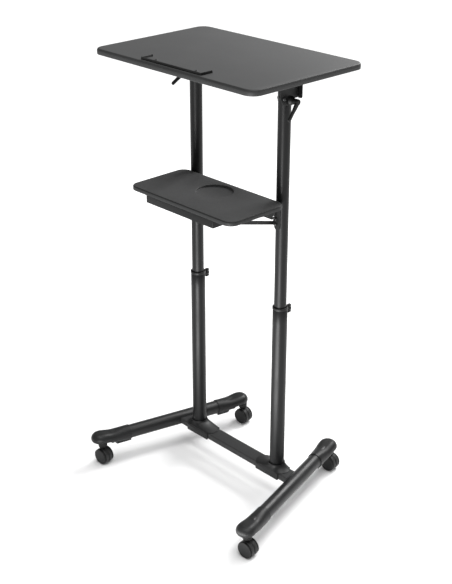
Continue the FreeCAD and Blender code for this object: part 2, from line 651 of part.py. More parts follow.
def book_stop():
    """Shallow ledge: a thin plate with a low lip along its front and both ends."""
    half = STOP_BAR_LENGTH / 2
    front = COLUMN_Y + STOP_BAR_FRONT
    back = front + STOP_BAR_DEPTH
    outside = book_stop_block(TOP_SURFACE + STOP_BAR_LIP)
    outside = outside.makeFillet(1.0, top_edges(outside, TOP_SURFACE + STOP_BAR_LIP))
    wall = STOP_BAR_WALL
    inside = box(wall - half, half - wall, front + wall, back + 1, TOP_SURFACE + STOP_BAR_SKIN,
                 TOP_SURFACE + STOP_BAR_LIP + 1)
    return outside.cut(inside)


def book_stop_screws():
    screws = []
    middle = COLUMN_Y + STOP_BAR_FRONT + STOP_BAR_DEPTH / 2
    for x in (-STOP_BAR_LENGTH / 3, STOP_BAR_LENGTH / 3):
        head = rod(V(x, middle, TOP_SURFACE + STOP_BAR_SKIN), Z_AXIS, STOP_BAR_SCREW_RADIUS,
                   STOP_BAR_SCREW_HEIGHT)
        rim = top_edges(head, TOP_SURFACE + STOP_BAR_SKIN + STOP_BAR_SCREW_HEIGHT)
        screws.append(head.makeFillet(1.2, rim))
    return Part.makeCompound(screws)


def bracket_screws():
    """Screws up through the brackets' web and wing into the desktop."""
    low = TOP_SURFACE - TOP_THICKNESS - SHEET - SCREW_HEIGHT
    wing = CHEEK_INNER + SHEET + FLANGE_REACH / 2
    places = [(0, CHEEK_FRONT + 10), (0, CHEEK_BACK - 8), (wing, WING_FRONT + 16), (wing, CHEEK_BACK - 14)]
    screws = []
    for side in SIDES.values():
        for x, y in places:
            screws.append(rod(column_point(side, x, y, low), Z_AXIS, SCREW_RADIUS, SCREW_HEIGHT))
    return Part.makeCompound(screws)


# ---- casters ----
def caster_frame(side, front):
    """Stem position, axle centre and axle direction (towards the reader) of one caster."""
    stem = foot_point(side, FRONT_STEM if front else -REAR_STEM, 0)
    turn = math.radians(CASTER_TURN)
    axle_way = V(math.sin(turn), -math.cos(turn), 0)
    trail_way = V(math.cos(turn), math.sin(turn), 0)
    axle = stem + trail_way * CASTER_TRAIL + V(0, 0, WHEEL_RADIUS)
    return stem, axle, axle_way


def caster_housing(stem, axle, axle_way):
    """Stem, round boss and the narrow rib that stands between the two wheels."""
    rib_width = CASTER_WIDTH - 2 * WHEEL_WIDTH - 2 * RIB_GAP
    start = axle - axle_way * (rib_width / 2)
    rib = rod(start, axle_way, WHEEL_RADIUS - 3, rib_width)
    across = V(-axle_way.y, axle_way.x, 0)
    low = start - across * (NECK_WIDTH / 2)
    high = low + Z_AXIS * NECK_HEIGHT
    neck = prism([low, low + across * NECK_WIDTH, high + across * NECK_WIDTH, high],
                 axle_way * rib_width)
    boss_top = NOSE_BASE_Z - CASTER_GAP
    boss = rod(V(stem.x, stem.y, CASTER_BOSS_BOTTOM), Z_AXIS, CASTER_BOSS_RADIUS,
               boss_top - CASTER_BOSS_BOTTOM)
    boss = boss.makeFillet(3.0, top_edges(boss, boss_top))
    pin = rod(V(stem.x, stem.y, boss_top - 2), Z_AXIS, STEM_RADIUS, STEM_TOP - boss_top + 2)
    housing = rib.fuse(neck).fuse(boss).fuse(pin)
    return housing.cut(rod(start, axle_way, AXLE_RADIUS, rib_width))


def caster_axle(axle, axle_way):
    length = CASTER_WIDTH - 2 * AXLE_COVER
    return rod(axle - axle_way * (length / 2), axle_way, AXLE_RADIUS, length)


def caster_wheel(axle, way):
    """Wheel on one side of the rib: tread, dark groove and a flat disc cover outside it."""
    start = CASTER_WIDTH / 2 - WHEEL_WIDTH
    face = CASTER_WIDTH / 2
    cover = face - COVER_THICKNESS
    groove = cover - GROOVE_WIDTH
    tread = WHEEL_RADIUS
    profile = [(0, start), (tread - 1.5, start), (tread, start + 1.5), (tread, groove - 0.8),
               (tread - 0.8, groove), (tread - GROOVE_DEPTH, groove), (tread - GROOVE_DEPTH, cover),
               (tread, cover), (tread, face - 1.0), (tread - 1.0, face), (0, face)]
    ends = [V(radius, 0, along) for radius, along in profile]
    wheel = Part.Face(Part.makePolygon(ends + [ends[0]])).revolve(V(0, 0, 0), Z_AXIS, 360)
    bore_end = face - AXLE_COVER + BORE_END_GAP
    bore = rod(V(0, 0, start - 1), Z_AXIS, AXLE_RADIUS + HUB_GAP, bore_end - start + 1)
    wheel = wheel.cut(bore)
    wheel.Placement = FreeCAD.Placement(axle, FreeCAD.Rotation(Z_AXIS, way))
    return wheel


def build():
    save("cross_beam", cross_beam())
    for name, side in SIDES.items():
        save("foot_tube_" + name, foot_tube(side))
        save("column_shroud_" + name, column_shroud(side))
        save("outer_tube_" + name, outer_tube(side))
        save("tube_collar_" + name, tube_collar(side))
        save("knob_nut_" + name, knob_nut(side))
        save("height_knob_" + name, height_knob(side))
        save("inner_tube_" + name, inner_tube(side))
        save("guide_bush_" + name, guide_bush(side))
        save("shelf_bracket_" + name, shelf_bracket(side))
        save("shelf_brace_" + name, shelf_brace(side))
        save("tilt_bracket_" + name, tilt_bracket(side))
        save("pivot_bolt_" + name, pivot_bolt(side))
        save("clamp_lever_" + name, clamp_lever(name))
        for end, front in (("front", True), ("rear", False)):
            corner = end + "_" + name
            stem, axle, axle_way = caster_frame(side, front)
            save("foot_cap_" + corner, foot_cap(side, front))
            save("caster_housing_" + corner, caster_housing(stem, axle, axle_way))
            save("caster_axle_" + corner, caster_axle(axle, axle_way))
            save("caster_wheel_a_" + corner, caster_wheel(axle, axle_way))
            save("caster_wheel_b_" + corner, caster_wheel(axle, axle_way * -1))
    save("tube_plugs", tube_plugs())
    save("shelf_tray", shelf_tray())
    save("shelf_pan", shelf_pan())
    save("shelf_rear_rail", shelf_rear_rail())
    save("shelf_bolts", shelf_bolts())
    save("table_top", table_top())
    save("stop_bolts", stop_bolts())
    save("book_stop", book_stop())
    save("book_stop_screws", book_stop_screws())
    save("bracket_screws", bracket_screws())


build()
outline = Part.makeCompound(list(SAVED.values())).BoundBox
print(len(SAVED), "parts; x", outline.XMin, outline.XMax, "y", outline.YMin, outline.YMax,
      "z", outline.ZMin, outline.ZMax)
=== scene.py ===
import bmesh
import bpy
import json
import math
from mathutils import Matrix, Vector


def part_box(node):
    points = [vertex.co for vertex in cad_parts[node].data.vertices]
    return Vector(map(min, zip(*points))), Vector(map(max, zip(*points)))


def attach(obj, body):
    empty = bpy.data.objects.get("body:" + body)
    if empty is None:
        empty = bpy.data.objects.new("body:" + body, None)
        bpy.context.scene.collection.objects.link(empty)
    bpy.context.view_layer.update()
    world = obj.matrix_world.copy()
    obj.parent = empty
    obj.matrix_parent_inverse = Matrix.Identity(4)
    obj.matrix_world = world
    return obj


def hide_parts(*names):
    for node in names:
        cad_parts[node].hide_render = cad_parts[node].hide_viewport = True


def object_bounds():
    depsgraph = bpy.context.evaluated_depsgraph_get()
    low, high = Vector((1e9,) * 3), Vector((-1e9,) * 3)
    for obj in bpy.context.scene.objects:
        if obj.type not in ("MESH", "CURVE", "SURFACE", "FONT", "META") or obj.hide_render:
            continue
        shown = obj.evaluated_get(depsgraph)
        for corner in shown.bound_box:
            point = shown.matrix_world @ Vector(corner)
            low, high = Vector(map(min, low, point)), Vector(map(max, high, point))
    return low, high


# A wheeled lectern: tilting desktop with a book ledge, two telescopic columns, a fixed shelf and
# a splayed base on four twin-wheel casters. Metres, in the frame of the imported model.
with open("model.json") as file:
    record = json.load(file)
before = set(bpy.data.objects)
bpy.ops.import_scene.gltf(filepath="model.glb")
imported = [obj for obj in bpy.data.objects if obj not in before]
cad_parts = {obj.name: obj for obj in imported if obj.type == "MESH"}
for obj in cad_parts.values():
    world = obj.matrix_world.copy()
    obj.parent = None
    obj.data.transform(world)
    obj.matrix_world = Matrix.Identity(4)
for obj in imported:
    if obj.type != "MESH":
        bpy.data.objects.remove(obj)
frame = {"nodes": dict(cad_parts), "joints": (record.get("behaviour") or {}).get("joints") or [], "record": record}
cad_low, cad_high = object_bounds()
RECORD = frame["record"]
JOINTS = {joint["name"]: joint for joint in frame["joints"]}
SIDES = {"left": -1, "right": 1}
ENDS = {"front": 1, "rear": -1}
X_AXIS = Vector((1, 0, 0))
Y_AXIS = Vector((0, 1, 0))
Z_AXIS = Vector((0, 0, 1))
MM = 0.001

# ---- details that the frame's boxes don't give ----
FOOT_SPLAY = math.radians(15)
DESKTOP_CORNER = 30 * MM
SHELF_CORNER = 27 * MM
LEDGE_WALL = 3.0 * MM
LEDGE_SKIN = 1.5 * MM
LEDGE_OUTER_SKIN = 0.8 * MM  # the left return is dark only outside and at its tip
LEDGE_TIP = 4 * MM
TUBE_WALL = 1.5 * MM
SHEET = 2.0 * MM
NOSE_RADIUS = 28 * MM
NOSE_WIDEST = 5.5 * MM      # above the foot's axis
NOSE_RISE = 18.5 * MM       # rounding above the widest level, up to the nose's top
NOSE_FALL = 10.5 * MM       # and below it, down to the flat underside
CAP_RADIUS = 23.2 * MM
CAP_TAPER = 92 * MM         # length over which the sleeve swells into the nose
KEEL_HALF = 14 * MM
KEEL_LENGTHS = {1: 46 * MM, -1: 36 * MM}    # front and rear, from the cap's open end
KEEL_RAMP = 18 * MM
BEAM_FILLET = 3.5 * MM
EAR_HALF = 9 * MM           # the bracket's ear round the pivot
EAR_SLOPE = 5 * MM          # from the ear's end to the rear edge
INNER_EAR_FRONT = 6 * MM    # the inner ear is cut shorter in front of the pivot
LEVER_ROOT_HALF = 7 * MM
LEVER_END_HALF = 5 * MM
LEVER_THICK = 7 * MM
KNOB_GAP = 3.5 * MM         # from the welded nut to the wing
KNOB_DEEP = 10 * MM
KNOB_HALF = 5 * MM
BRACE_HEIGHT = 11 * MM
BRACE_FRONT = 10 * MM       # from the toe's front edge to the bar's end
HEEL_WIDE, HEEL_TALL = 12 * MM, 24 * MM
TOE_WIDE, TOE_LONG = 16 * MM, 22 * MM
STRIP_BOLTS = (16 * MM, 30 * MM)    # heights above the strip's lower end
SCREW_RADIUS = 3.6 * MM     # under the desktop
CHEEK_SLOPE = 14 * MM       # the outer cheek's sloping front corner
CHEEK_DROP = 18 * MM
PLATE_INWARD = 62 * MM      # the shroud's saddle plates, from the column's middle
PLATE_OUTWARD = 29 * MM
RIB_RADIUS = 21.6 * MM      # the rib between the two wheels of a caster
CUP_RADIUS = 51 * MM
RAIL_EAR = 9 * MM           # the rail's upper part is wider by this much at each end


# ---- mesh helpers ----
def middle(node):
    low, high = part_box(node)
    return (low + high) / 2


def half_width(node):
    """Half of a node's size across X, which is the radius of anything round and upright."""
    low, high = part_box(node)
    return (high.x - low.x) / 2


def inner_outer(node, side):
    """A node's X ends: the one nearer the middle of the lectern, then the other."""
    low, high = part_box(node)
    return (low.x, high.x) if side > 0 else (high.x, low.x)


def in_mm(pairs, end=0.0):
    """(radius, distance) pairs given in millimetres; end is added to each distance."""
    return [(radius * MM, end + along * MM) for radius, along in pairs]


def turns(steps):
    return [2 * math.pi * k / steps for k in range(steps)]


def bulged(value, power):
    """Bends a sine or cosine, so that a circle becomes a rounded square."""
    return math.copysign(abs(value) ** power, value)


def smooth_step(value, start, end):
    share = min(1.0, max(0.0, (value - start) / (end - start)))
    return share * share * (3 - 2 * share)


def smooth_max(a, b, reach):
    return (a + b + math.sqrt((a - b) ** 2 + reach ** 2)) / 2


def smooth_min(a, b, reach):
    return (a + b - math.sqrt((a - b) ** 2 + reach ** 2)) / 2


def add_ring(bm, points):
    return [bm.verts.new(point) for point in points]


def join_rings(bm, first, second, finish=0):
    """Faces between two closed rings; a ring of one point makes a fan."""
    count = max(len(first), len(second))
    for k in range(count):
        following = (k + 1) % count
        if len(first) == 1:
            corners = (first[0], second[k], second[following])
        elif len(second) == 1:
            corners = (first[k], second[0], first[following])
        else:
            corners = (first[k], second[k], second[following], first[following])
        bm.faces.new(corners).material_index = finish


def skin(bm, rings, finishes=None, caps=True):
    """Closed skin over a stack of rings."""
    for k, (first, second) in enumerate(zip(rings, rings[1:])):
        join_rings(bm, first, second, finishes[k] if finishes else 0)
    if caps:
        for ring, k in ((rings[0], 0), (rings[-1], -1)):
            if len(ring) > 1:
                bm.faces.new(ring).material_index = finishes[k] if finishes else 0


def hoop(centre, first, second, radius, steps):
    """Circle of points in the plane of two perpendicular directions."""
    return [centre + (first * math.cos(turn) + second * math.sin(turn)) * radius for turn in turns(steps)]


def circle(centre, axis, radius, steps):
    side = axis.orthogonal().normalized()
    return hoop(centre, side, axis.cross(side), radius, steps)


def lathe(bm, profile, origin, axis, steps=48, finishes=None, closed=False):
    """Turned shape: profile holds (radius, distance along the axis) pairs."""
    axis = axis.normalized()
    rings = []
    for radius, along in profile:
        centre = origin + axis * along
        rings.append(add_ring(bm, circle(centre, axis, radius, steps) if radius > 1e-7 else [centre]))
    if closed:
        rings.append(rings[0])
    skin(bm, rings, finishes, caps=not closed)


def rounded(points, radii, steps=5):
    """Outline with its corners rounded; radii is one number or one for each corner."""
    outline = []
    for k, corner in enumerate(points):
        radius = radii[k] if isinstance(radii, (list, tuple)) else radii
        if radius == 0:
            outline.append(corner)
            continue
        before = (points[k - 1] - corner).normalized()
        after = (points[(k + 1) % len(points)] - corner).normalized()
        half = before.angle(after) / 2
        centre = corner + (before + after).normalized() * (radius / math.sin(half))
        start = corner + before * (radius / math.tan(half)) - centre
        end = corner + after * (radius / math.tan(half)) - centre
        outline += [centre + start.slerp(end, step / steps) * radius for step in range(steps + 1)]
    return outline


def prism(bm, outline, push, finish=0):
    first = add_ring(bm, outline)
    second = add_ring(bm, [point + push for point in outline])
    skin(bm, [first, second], [finish])


def slab_rays(low, high, corner, spacing=0.012, steps=8):
    """Rounded rectangle as (anchor, outward direction) pairs, so that it can be inset evenly."""
    rays = []
    quarters = ((high.x, high.y, 0), (low.x, high.y, 90), (low.x, low.y, 180), (high.x, low.y, 270))
    for x, y, start in quarters:
        anchor = Vector((x - math.copysign(corner, x - (low.x + high.x) / 2),
                         y - math.copysign(corner, y - (low.y + high.y) / 2), 0))
        for step in range(steps + 1):
            turn = math.radians(start + 90 * step / steps)
            rays.append((anchor, Vector((math.cos(turn), math.sin(turn), 0))))
    filled = []
    for (anchor, way), following in zip(rays, rays[1:] + rays[:1]):
        filled.append((anchor, way))
        gap = following[0] - anchor
        count = int(gap.length / spacing)
        filled += [(anchor + gap * (k / count), way) for k in range(1, count)]
    return filled


def slab_ring(bm, rays, corner, inset, z):
    return add_ring(bm, [anchor + way * (corner - inset) + Z_AXIS * z for anchor, way in rays])


def box_outline(low, high, z=0.0):
    return [Vector((low[0], low[1], z)), Vector((high[0], low[1], z)),
            Vector((high[0], high[1], z)), Vector((low[0], high[1], z))]


def panel_outline(ends, levels, y):
    """Upright rectangle across the lectern, its lower corners first."""
    return [Vector((ends[0], y, levels[0])), Vector((ends[1], y, levels[0])),
            Vector((ends[1], y, levels[1])), Vector((ends[0], y, levels[1]))]


def side_outline(x, pairs):
    return [Vector((x, y, z)) for y, z in pairs]


def mesh_from(name, bm):
    bmesh.ops.recalc_face_normals(bm, faces=bm.faces)
    mesh = bpy.data.meshes.new(name)
    bm.to_mesh(mesh)
    bm.free()
    return mesh


def add_object(name, data, place=(0, 0, 0), back=None):
    """Adds an object to the scene, facing away from back if that is given."""
    made = bpy.data.objects.new(name, data)
    made.location = place
    if back is not None:
        made.rotation_mode = "QUATERNION"
        made.rotation_quaternion = (-back).to_track_quat("-Z", "Y")
    bpy.context.scene.collection.objects.link(made)
    return made


def make_piece(name, bm, body, finishes, replaced=(), bevel=0.0, sharp=32, segments=2):
    """Turns the mesh into a piece that rides on a body and stands for its CAD nodes."""
    bmesh.ops.remove_doubles(bm, verts=bm.verts, dist=1e-7)
    mesh = mesh_from(name, bm)
    for face in mesh.polygons:
        face.use_smooth = True
    if not bevel:
        mesh.set_sharp_from_angle(angle=math.radians(sharp))
    for finish in finishes:
        mesh.materials.append(finish)
    made = add_object(name, mesh)
    if bevel:
        rounding = made.modifiers.new("rounding", "BEVEL")
        rounding.width = bevel
        rounding.segments = segments
        rounding.limit_method = "ANGLE"
        rounding.angle_limit = math.radians(sharp)
        rounding.harden_normals = True
    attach(made, body)
    if replaced:
        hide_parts(*replaced)


# ---- finishes ----
class Finish:
    """Procedural surface: mottled colour, uneven gloss, two scales of grain, and edges painted lighter, partly as
    wear and partly as a painted highlight.
    """

    def __init__(self, name, colour, roughness):
        self.material = bpy.data.materials.new(name)
        self.material.use_nodes = True
        self.tree = self.material.node_tree
        self.shader = self.tree.nodes["Principled BSDF"]
        self.where = self.node("ShaderNodeTexCoord").outputs["Object"]
        self.colour = colour
        self.roughness = roughness

    def node(self, kind, **settings):
        made = self.tree.nodes.new(kind)
        for name, value in settings.items():
            setattr(made, name, value)
        return made

    def link(self, source, target):
        self.tree.links.new(source, target)

    def noise(self, scale, detail=3.0, stretch=None):
        made = self.node("ShaderNodeTexNoise")
        made.inputs["Scale"].default_value = scale
        made.inputs["Detail"].default_value = detail
        where = self.where
        if stretch:
            mapping = self.node("ShaderNodeMapping")
            mapping.inputs["Scale"].default_value = stretch
            self.link(where, mapping.inputs["Vector"])
            where = mapping.outputs["Vector"]
        self.link(where, made.inputs["Vector"])
        return made.outputs["Fac"]

    def cells(self, scale):
        made = self.node("ShaderNodeTexVoronoi", feature="SMOOTH_F1")
        made.inputs["Scale"].default_value = scale
        self.link(self.where, made.inputs["Vector"])
        return made.outputs["Distance"]

    def spread(self, source, low, high, start=0.3, end=0.7):
        """A texture's middle range stretched over low to high."""
        made = self.node("ShaderNodeMapRange")
        for name, value in (("From Min", start), ("From Max", end), ("To Min", low), ("To Max", high)):
            made.inputs[name].default_value = value
        self.link(source, made.inputs["Value"])
        return made.outputs["Result"]

    def math(self, operation, first, second):
        made = self.node("ShaderNodeMath", operation=operation)
        for socket, value in zip(made.inputs, (first, second)):
            if isinstance(value, (int, float)):
                socket.default_value = value
            else:
                self.link(value, socket)
        return made.outputs["Value"]

    def blend(self, share, first, second):
        made = self.node("ShaderNodeMix", data_type="RGBA")
        self.link(share, made.inputs["Factor"])
        for socket, value in ((made.inputs[6], first), (made.inputs[7], second)):
            if isinstance(value, tuple):
                socket.default_value = (*value, 1)
            else:
                self.link(value, socket)
        return made.outputs[2]

    def worn_and_highlit_edges(self, radius):
        """Nearly 1 on convex and concave edges, broken up by noise, and 0 on flat surfaces."""
        rounding = self.node("ShaderNodeBevel", samples=4)
        rounding.inputs["Radius"].default_value = radius
        plain = self.node("ShaderNodeNewGeometry")
        dot = self.node("ShaderNodeVectorMath", operation="DOT_PRODUCT")
        self.link(rounding.outputs["Normal"], dot.inputs[0])
        self.link(plain.outputs["Normal"], dot.inputs[1])
        edge = self.spread(dot.outputs["Value"], 1.0, 0.0, 0.86, 0.995)
        return self.math("MULTIPLY", edge, self.spread(self.noise(120), 0.15, 1.0))

    def paint(self, mottling, wear_and_highlight, edge_radius=1.2 * MM, broad=7.0):
        light = tuple(min(1.0, part * (1 + mottling)) for part in self.colour)
        dark = tuple(part * (1 - mottling) for part in self.colour)
        base = self.blend(self.spread(self.noise(broad, 5.0), 0.0, 1.0), dark, light)
        speckle = self.spread(self.noise(650, 2.0), 0.0, mottling, 0.35, 0.75)
        base = self.blend(speckle, base, tuple(min(1.0, part * 1.9 + 0.004) for part in self.colour))
        # Edges are painted lighter: partly rubbed wear, partly a painted highlight.
        if wear_and_highlight:
            rubbed_and_highlit = tuple(min(1.0, part * 1.8 + 0.012) for part in self.colour)
            base = self.blend(self.math("MULTIPLY", self.worn_and_highlit_edges(edge_radius), wear_and_highlight), base, rubbed_and_highlit)
        self.link(base, self.shader.inputs["Base Color"])

    def gloss(self, uneven, smudge_scale=14.0):
        smudges = self.spread(self.noise(smudge_scale, 4.0), -uneven, uneven)
        fine = self.spread(self.noise(420, 2.0), -uneven / 2, uneven / 2)
        total = self.math("ADD", self.math("ADD", smudges, fine), self.roughness)
        self.link(total, self.shader.inputs["Roughness"])

    def grain(self, heights, distance):
        """heights is a list of (texture, share of the depth) pairs."""
        total = None
        for source, share in heights:
            part = self.math("MULTIPLY", source, share)
            total = part if total is None else self.math("ADD", total, part)
        bump = self.node("ShaderNodeBump")
        bump.inputs["Distance"].default_value = distance
        bump.inputs["Strength"].default_value = 0.6
        self.link(total, bump.inputs["Height"])
        self.link(bump.outputs["Normal"], self.shader.inputs["Normal"])

    def done(self, specular):
        self.shader.inputs["Specular IOR Level"].default_value = specular
        return self.material


def laminate(name, colour, roughness):
    """Matt melamine: a fine leathery pebble with a faint cloudiness."""
    finish = Finish(name, colour, roughness)
    finish.paint(0.05, 0.25)
    finish.gloss(0.04, 5.0)
    finish.grain([(finish.cells(760), 0.7), (finish.noise(2300, 2.0), 0.3)], 0.12 * MM)
    return finish.done(0.35)


def powder_coat(name, colour, roughness, specular=0.2):
    """Satin powder coat on steel: orange peel with a fine sandy grain."""
    finish = Finish(name, colour, roughness)
    finish.paint(0.10, 0.45)
    finish.gloss(0.045)
    finish.grain([(finish.noise(330, 1.0), 0.6), (finish.noise(1500, 2.0), 0.4)], 0.11 * MM)
    return finish.done(specular)


def moulded(name, colour, roughness, specular=0.2):
    """Spark-eroded texture of an injection moulding, with shiny handling marks."""
    finish = Finish(name, colour, roughness)
    finish.paint(0.08, 0.4)
    finish.gloss(0.05, 22.0)
    finish.grain([(finish.cells(1100), 0.5), (finish.noise(1900, 3.0), 0.5)], 0.09 * MM)
    return finish.done(specular)


def tyre(name, colour, roughness):
    """Hard rubber: dusty, with faint drag lines round the tread."""
    finish = Finish(name, colour, roughness)
    finish.paint(0.16, 0.3, broad=40.0)
    finish.gloss(0.06)
    finish.grain([(finish.noise(900, 3.0), 0.7), (finish.noise(260, 2.0, (1, 6, 1)), 0.3)], 0.15 * MM)
    return finish.done(0.3)


def oxide(name, colour, roughness):
    """Black oxide on turned steel: part metallic, with fine tool marks."""
    finish = Finish(name, colour, roughness)
    finish.paint(0.15, 0.6, 0.5 * MM, broad=60.0)
    finish.gloss(0.08, 60.0)
    finish.grain([(finish.noise(1400, 2.0, (1, 1, 5)), 1.0)], 0.05 * MM)
    finish.shader.inputs["Metallic"].default_value = 0.6
    return finish.material


def grey(value, tint=0.0):
    return (value - tint, value, value + tint)


LAMINATE = laminate("desktop_laminate", grey(0.047, 0.0004), 0.62)
# The desktop's edges and underside: the same laminate painted darker, as shade.
LAMINATE_EDGE_PAINTED_SHADE = laminate("desktop_edge_painted_shade", grey(0.018, 0.0003), 0.55)
LEDGE_PLATE = powder_coat("ledge_plate", grey(0.050, 0.0004), 0.6)
LEDGE_LIP = moulded("ledge_lip", grey(0.006), 0.55, 0.25)
SHELF = moulded("shelf_plastic", grey(0.056, 0.0004), 0.55)
# The tray's rim and underside: the same moulding painted darker, as shade.
SHELF_EDGE_PAINTED_SHADE = moulded("shelf_edge_painted_shade", grey(0.016, 0.0003), 0.5)
STEEL = powder_coat("powder_coated_steel", grey(0.007, 0.0002), 0.38)
FOOT_STEEL = powder_coat("foot_steel", grey(0.007, 0.0002), 0.4, 0.4)
# The beam: the frame's black powder coat painted lighter, as painted light on the beam.
BEAM_STEEL_PAINTED_LIGHT = powder_coat("beam_steel_painted_light", grey(0.029, 0.0003), 0.46)
BRACKET = powder_coat("bracket_steel", grey(0.009, 0.0002), 0.45)
PLASTIC = moulded("black_plastic", grey(0.010, 0.0002), 0.42, 0.26)
# Black plastic of levers, knobs and hoods, and also dark paint for the painted shade in grooves.
DARK_PLASTIC_AND_SHADE = moulded("dark_plastic_and_shade", grey(0.005), 0.5, 0.25)
DISC = moulded("wheel_disc", grey(0.016, 0.0003), 0.5)
TYRE = tyre("wheel_tread", grey(0.020, 0.0003), 0.5)
OXIDE = oxide("black_oxide", grey(0.022, 0.0003), 0.36)


# ---- desktop ----
def desktop_board():
    low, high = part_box("table_top")
    rays = slab_rays(low, high, DESKTOP_CORNER, spacing=0.03)
    sections = [(5.2, 0.0), (3.4, 0.35), (1.9, 1.3), (0.8, 2.9), (0.15, 5.0), (0.0, 6.4),
                (0.0, 14.2), (0.3, 15.0), (1.1, 15.5)]
    bm = bmesh.new()
    rings = [slab_ring(bm, rays, DESKTOP_CORNER, inset * MM, high.z - drop * MM)
             for inset, drop in sections]
    # Only the top face keeps the lit colour; the edges and the underside get the darker copy, painted shade.
    skin(bm, rings, [1] * (len(sections) - 1))
    bm.faces.ensure_lookup_table()
    top = max(bm.faces, key=lambda face: face.calc_center_median().z)
    top.material_index = 0
    make_piece("desktop_board", bm, "desktop", [LAMINATE, LAMINATE_EDGE_PAINTED_SHADE],
               ["table_top"], sharp=40)


def book_ledge():
    low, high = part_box("book_stop")
    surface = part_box("table_top")[1].z
    wall = LEDGE_WALL
    tip_y = high.y - LEDGE_TIP
    lining_x = low.x + LEDGE_OUTER_SKIN
    corners = [(low.x, high.y), (low.x, low.y), (high.x, low.y), (high.x, high.y),
               (high.x - wall, high.y), (high.x - wall, low.y + wall), (lining_x, low.y + wall),
               (lining_x, tip_y), (low.x + wall, tip_y), (low.x + wall, high.y)]
    radii = [1.0 * MM, 3 * MM, 3 * MM, 1.4 * MM, 1.4 * MM, 0.8 * MM, 0, 0, 0, 1.0 * MM]
    outline = rounded([Vector((x, y, surface)) for x, y in corners], radii)
    bm = bmesh.new()
    prism(bm, outline, Z_AXIS * (high.z - surface))
    make_piece("book_ledge_lip", bm, "desktop", [LEDGE_LIP], ["book_stop"],
               bevel=0.35 * MM, segments=3)
    bm = bmesh.new()
    plate = box_outline((low.x + wall, low.y + wall), (high.x - wall, high.y), surface)
    prism(bm, plate, Z_AXIS * LEDGE_SKIN)
    lining = box_outline((lining_x, low.y + wall), (low.x + wall, tip_y), surface)
    prism(bm, lining, Z_AXIS * (high.z - surface))
    make_piece("book_ledge_plate", bm, "desktop", [LEDGE_PLATE], bevel=0.4 * MM)


def screw_head(bm, at, axis, radius, height, socket):
    """Domed head with a hexagon socket."""
    profile = [(radius, 0), (radius, height * 0.35), (radius * 0.86, height * 0.72),
               (radius * 0.62, height * 0.95), (socket * 1.15, height)]
    rings = [add_ring(bm, circle(at + axis * along, axis, size, 24)) for size, along in profile]
    sixth = math.pi / 3
    hexagon = [socket * math.cos(sixth / 2) / math.cos(turn % sixth - sixth / 2) for turn in turns(24)]
    ways = circle(Vector((0, 0, 0)), axis, 1.0, 24)
    for depth in (0.0, 0.6):
        centre = at + axis * (height * (1 - depth))
        rings.append(add_ring(bm, [centre + way * size for way, size in zip(ways, hexagon)]))
    skin(bm, rings)


def bolt_row(name, node, body, spots, radius, height, socket):
    """One piece with a screw head at each (place, outward direction)."""
    bm = bmesh.new()
    for at, axis in spots:
        screw_head(bm, at, axis, radius, height, socket)
    make_piece(name, bm, body, [OXIDE], [node])


def book_ledge_screws():
    low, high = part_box("book_stop_screws")
    radius = (high.y - low.y) / 2
    spots = [(Vector((x, (low.y + high.y) / 2, low.z)), Z_AXIS) for x in (low.x + radius, high.x - radius)]
    bolt_row("book_ledge_screws", "book_stop_screws", "desktop", spots, radius, high.z - low.z,
             radius * 0.42)


# ---- tilt brackets ----
def tilt_bracket(name, side):
    """Web under the desktop, a deep outer cheek, a narrow inner one, and a flange with a wing."""
    node = "tilt_bracket_" + name
    low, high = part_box(node)
    column = middle("inner_tube_" + name)
    inside, outer = inner_outer(node, side)
    wide = abs(column.x - inside)
    inner = wide - SHEET
    front, back = low.y, high.y - SHEET
    bottom, under = low.z, high.z
    rear_edge = bottom + 14 * MM
    ear_end = column.y + EAR_HALF
    ear = [(ear_end, bottom), (ear_end + EAR_SLOPE, rear_edge), (back, rear_edge), (back, under)]
    outer_cheek = [(front, under), (front, bottom + CHEEK_DROP), (front + CHEEK_SLOPE, bottom)]
    inner_front = column.y - INNER_EAR_FRONT
    inner_cheek = [(inner_front, under), (inner_front, bottom)]
    bm = bmesh.new()
    for start, edge, radii in ((inner, outer_cheek, [0, 10 * MM, 8 * MM]),
                               (-wide, inner_cheek, [0, 4 * MM])):
        points = side_outline(column.x + side * start, edge + ear)
        prism(bm, rounded(points, radii + [6 * MM, 2 * MM, 1 * MM, 0]), X_AXIS * side * SHEET)
    web = box_outline((column.x - wide, front), (column.x + wide, back), under - SHEET)
    prism(bm, web, Z_AXIS * SHEET)
    ends = sorted((column.x + side * wide, outer))
    wing = box_outline((ends[0], front + 8 * MM), (ends[1], back), under - SHEET)
    prism(bm, wing, Z_AXIS * SHEET)
    ends = sorted((column.x + side * inner, outer))
    flange = panel_outline(ends, (bottom + 12 * MM, under), back)
    prism(bm, rounded(flange, [0, 6 * MM, 0, 0] if side > 0 else [6 * MM, 0, 0, 0]), Y_AXIS * SHEET)
    make_piece("tilt_plates_" + name, bm, "desktop", [BRACKET], [node],
               bevel=0.6 * MM)


def bracket_screws():
    low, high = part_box("bracket_screws")
    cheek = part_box("tilt_bracket_right")
    column = middle("inner_tube_right")
    wing_x = high.x - SCREW_RADIUS
    spots = []
    for side in SIDES.values():
        for x, y in ((column.x, cheek[0].y + 10 * MM), (column.x, cheek[1].y - 10 * MM),
                     (wing_x, column.y - 12 * MM), (wing_x, column.y + 16 * MM)):
            spots.append((Vector((side * x, y, high.z)), -Z_AXIS))
    bolt_row("under_desktop_screws", "bracket_screws", "desktop", spots, SCREW_RADIUS,
             high.z - low.z, 1.5 * MM)


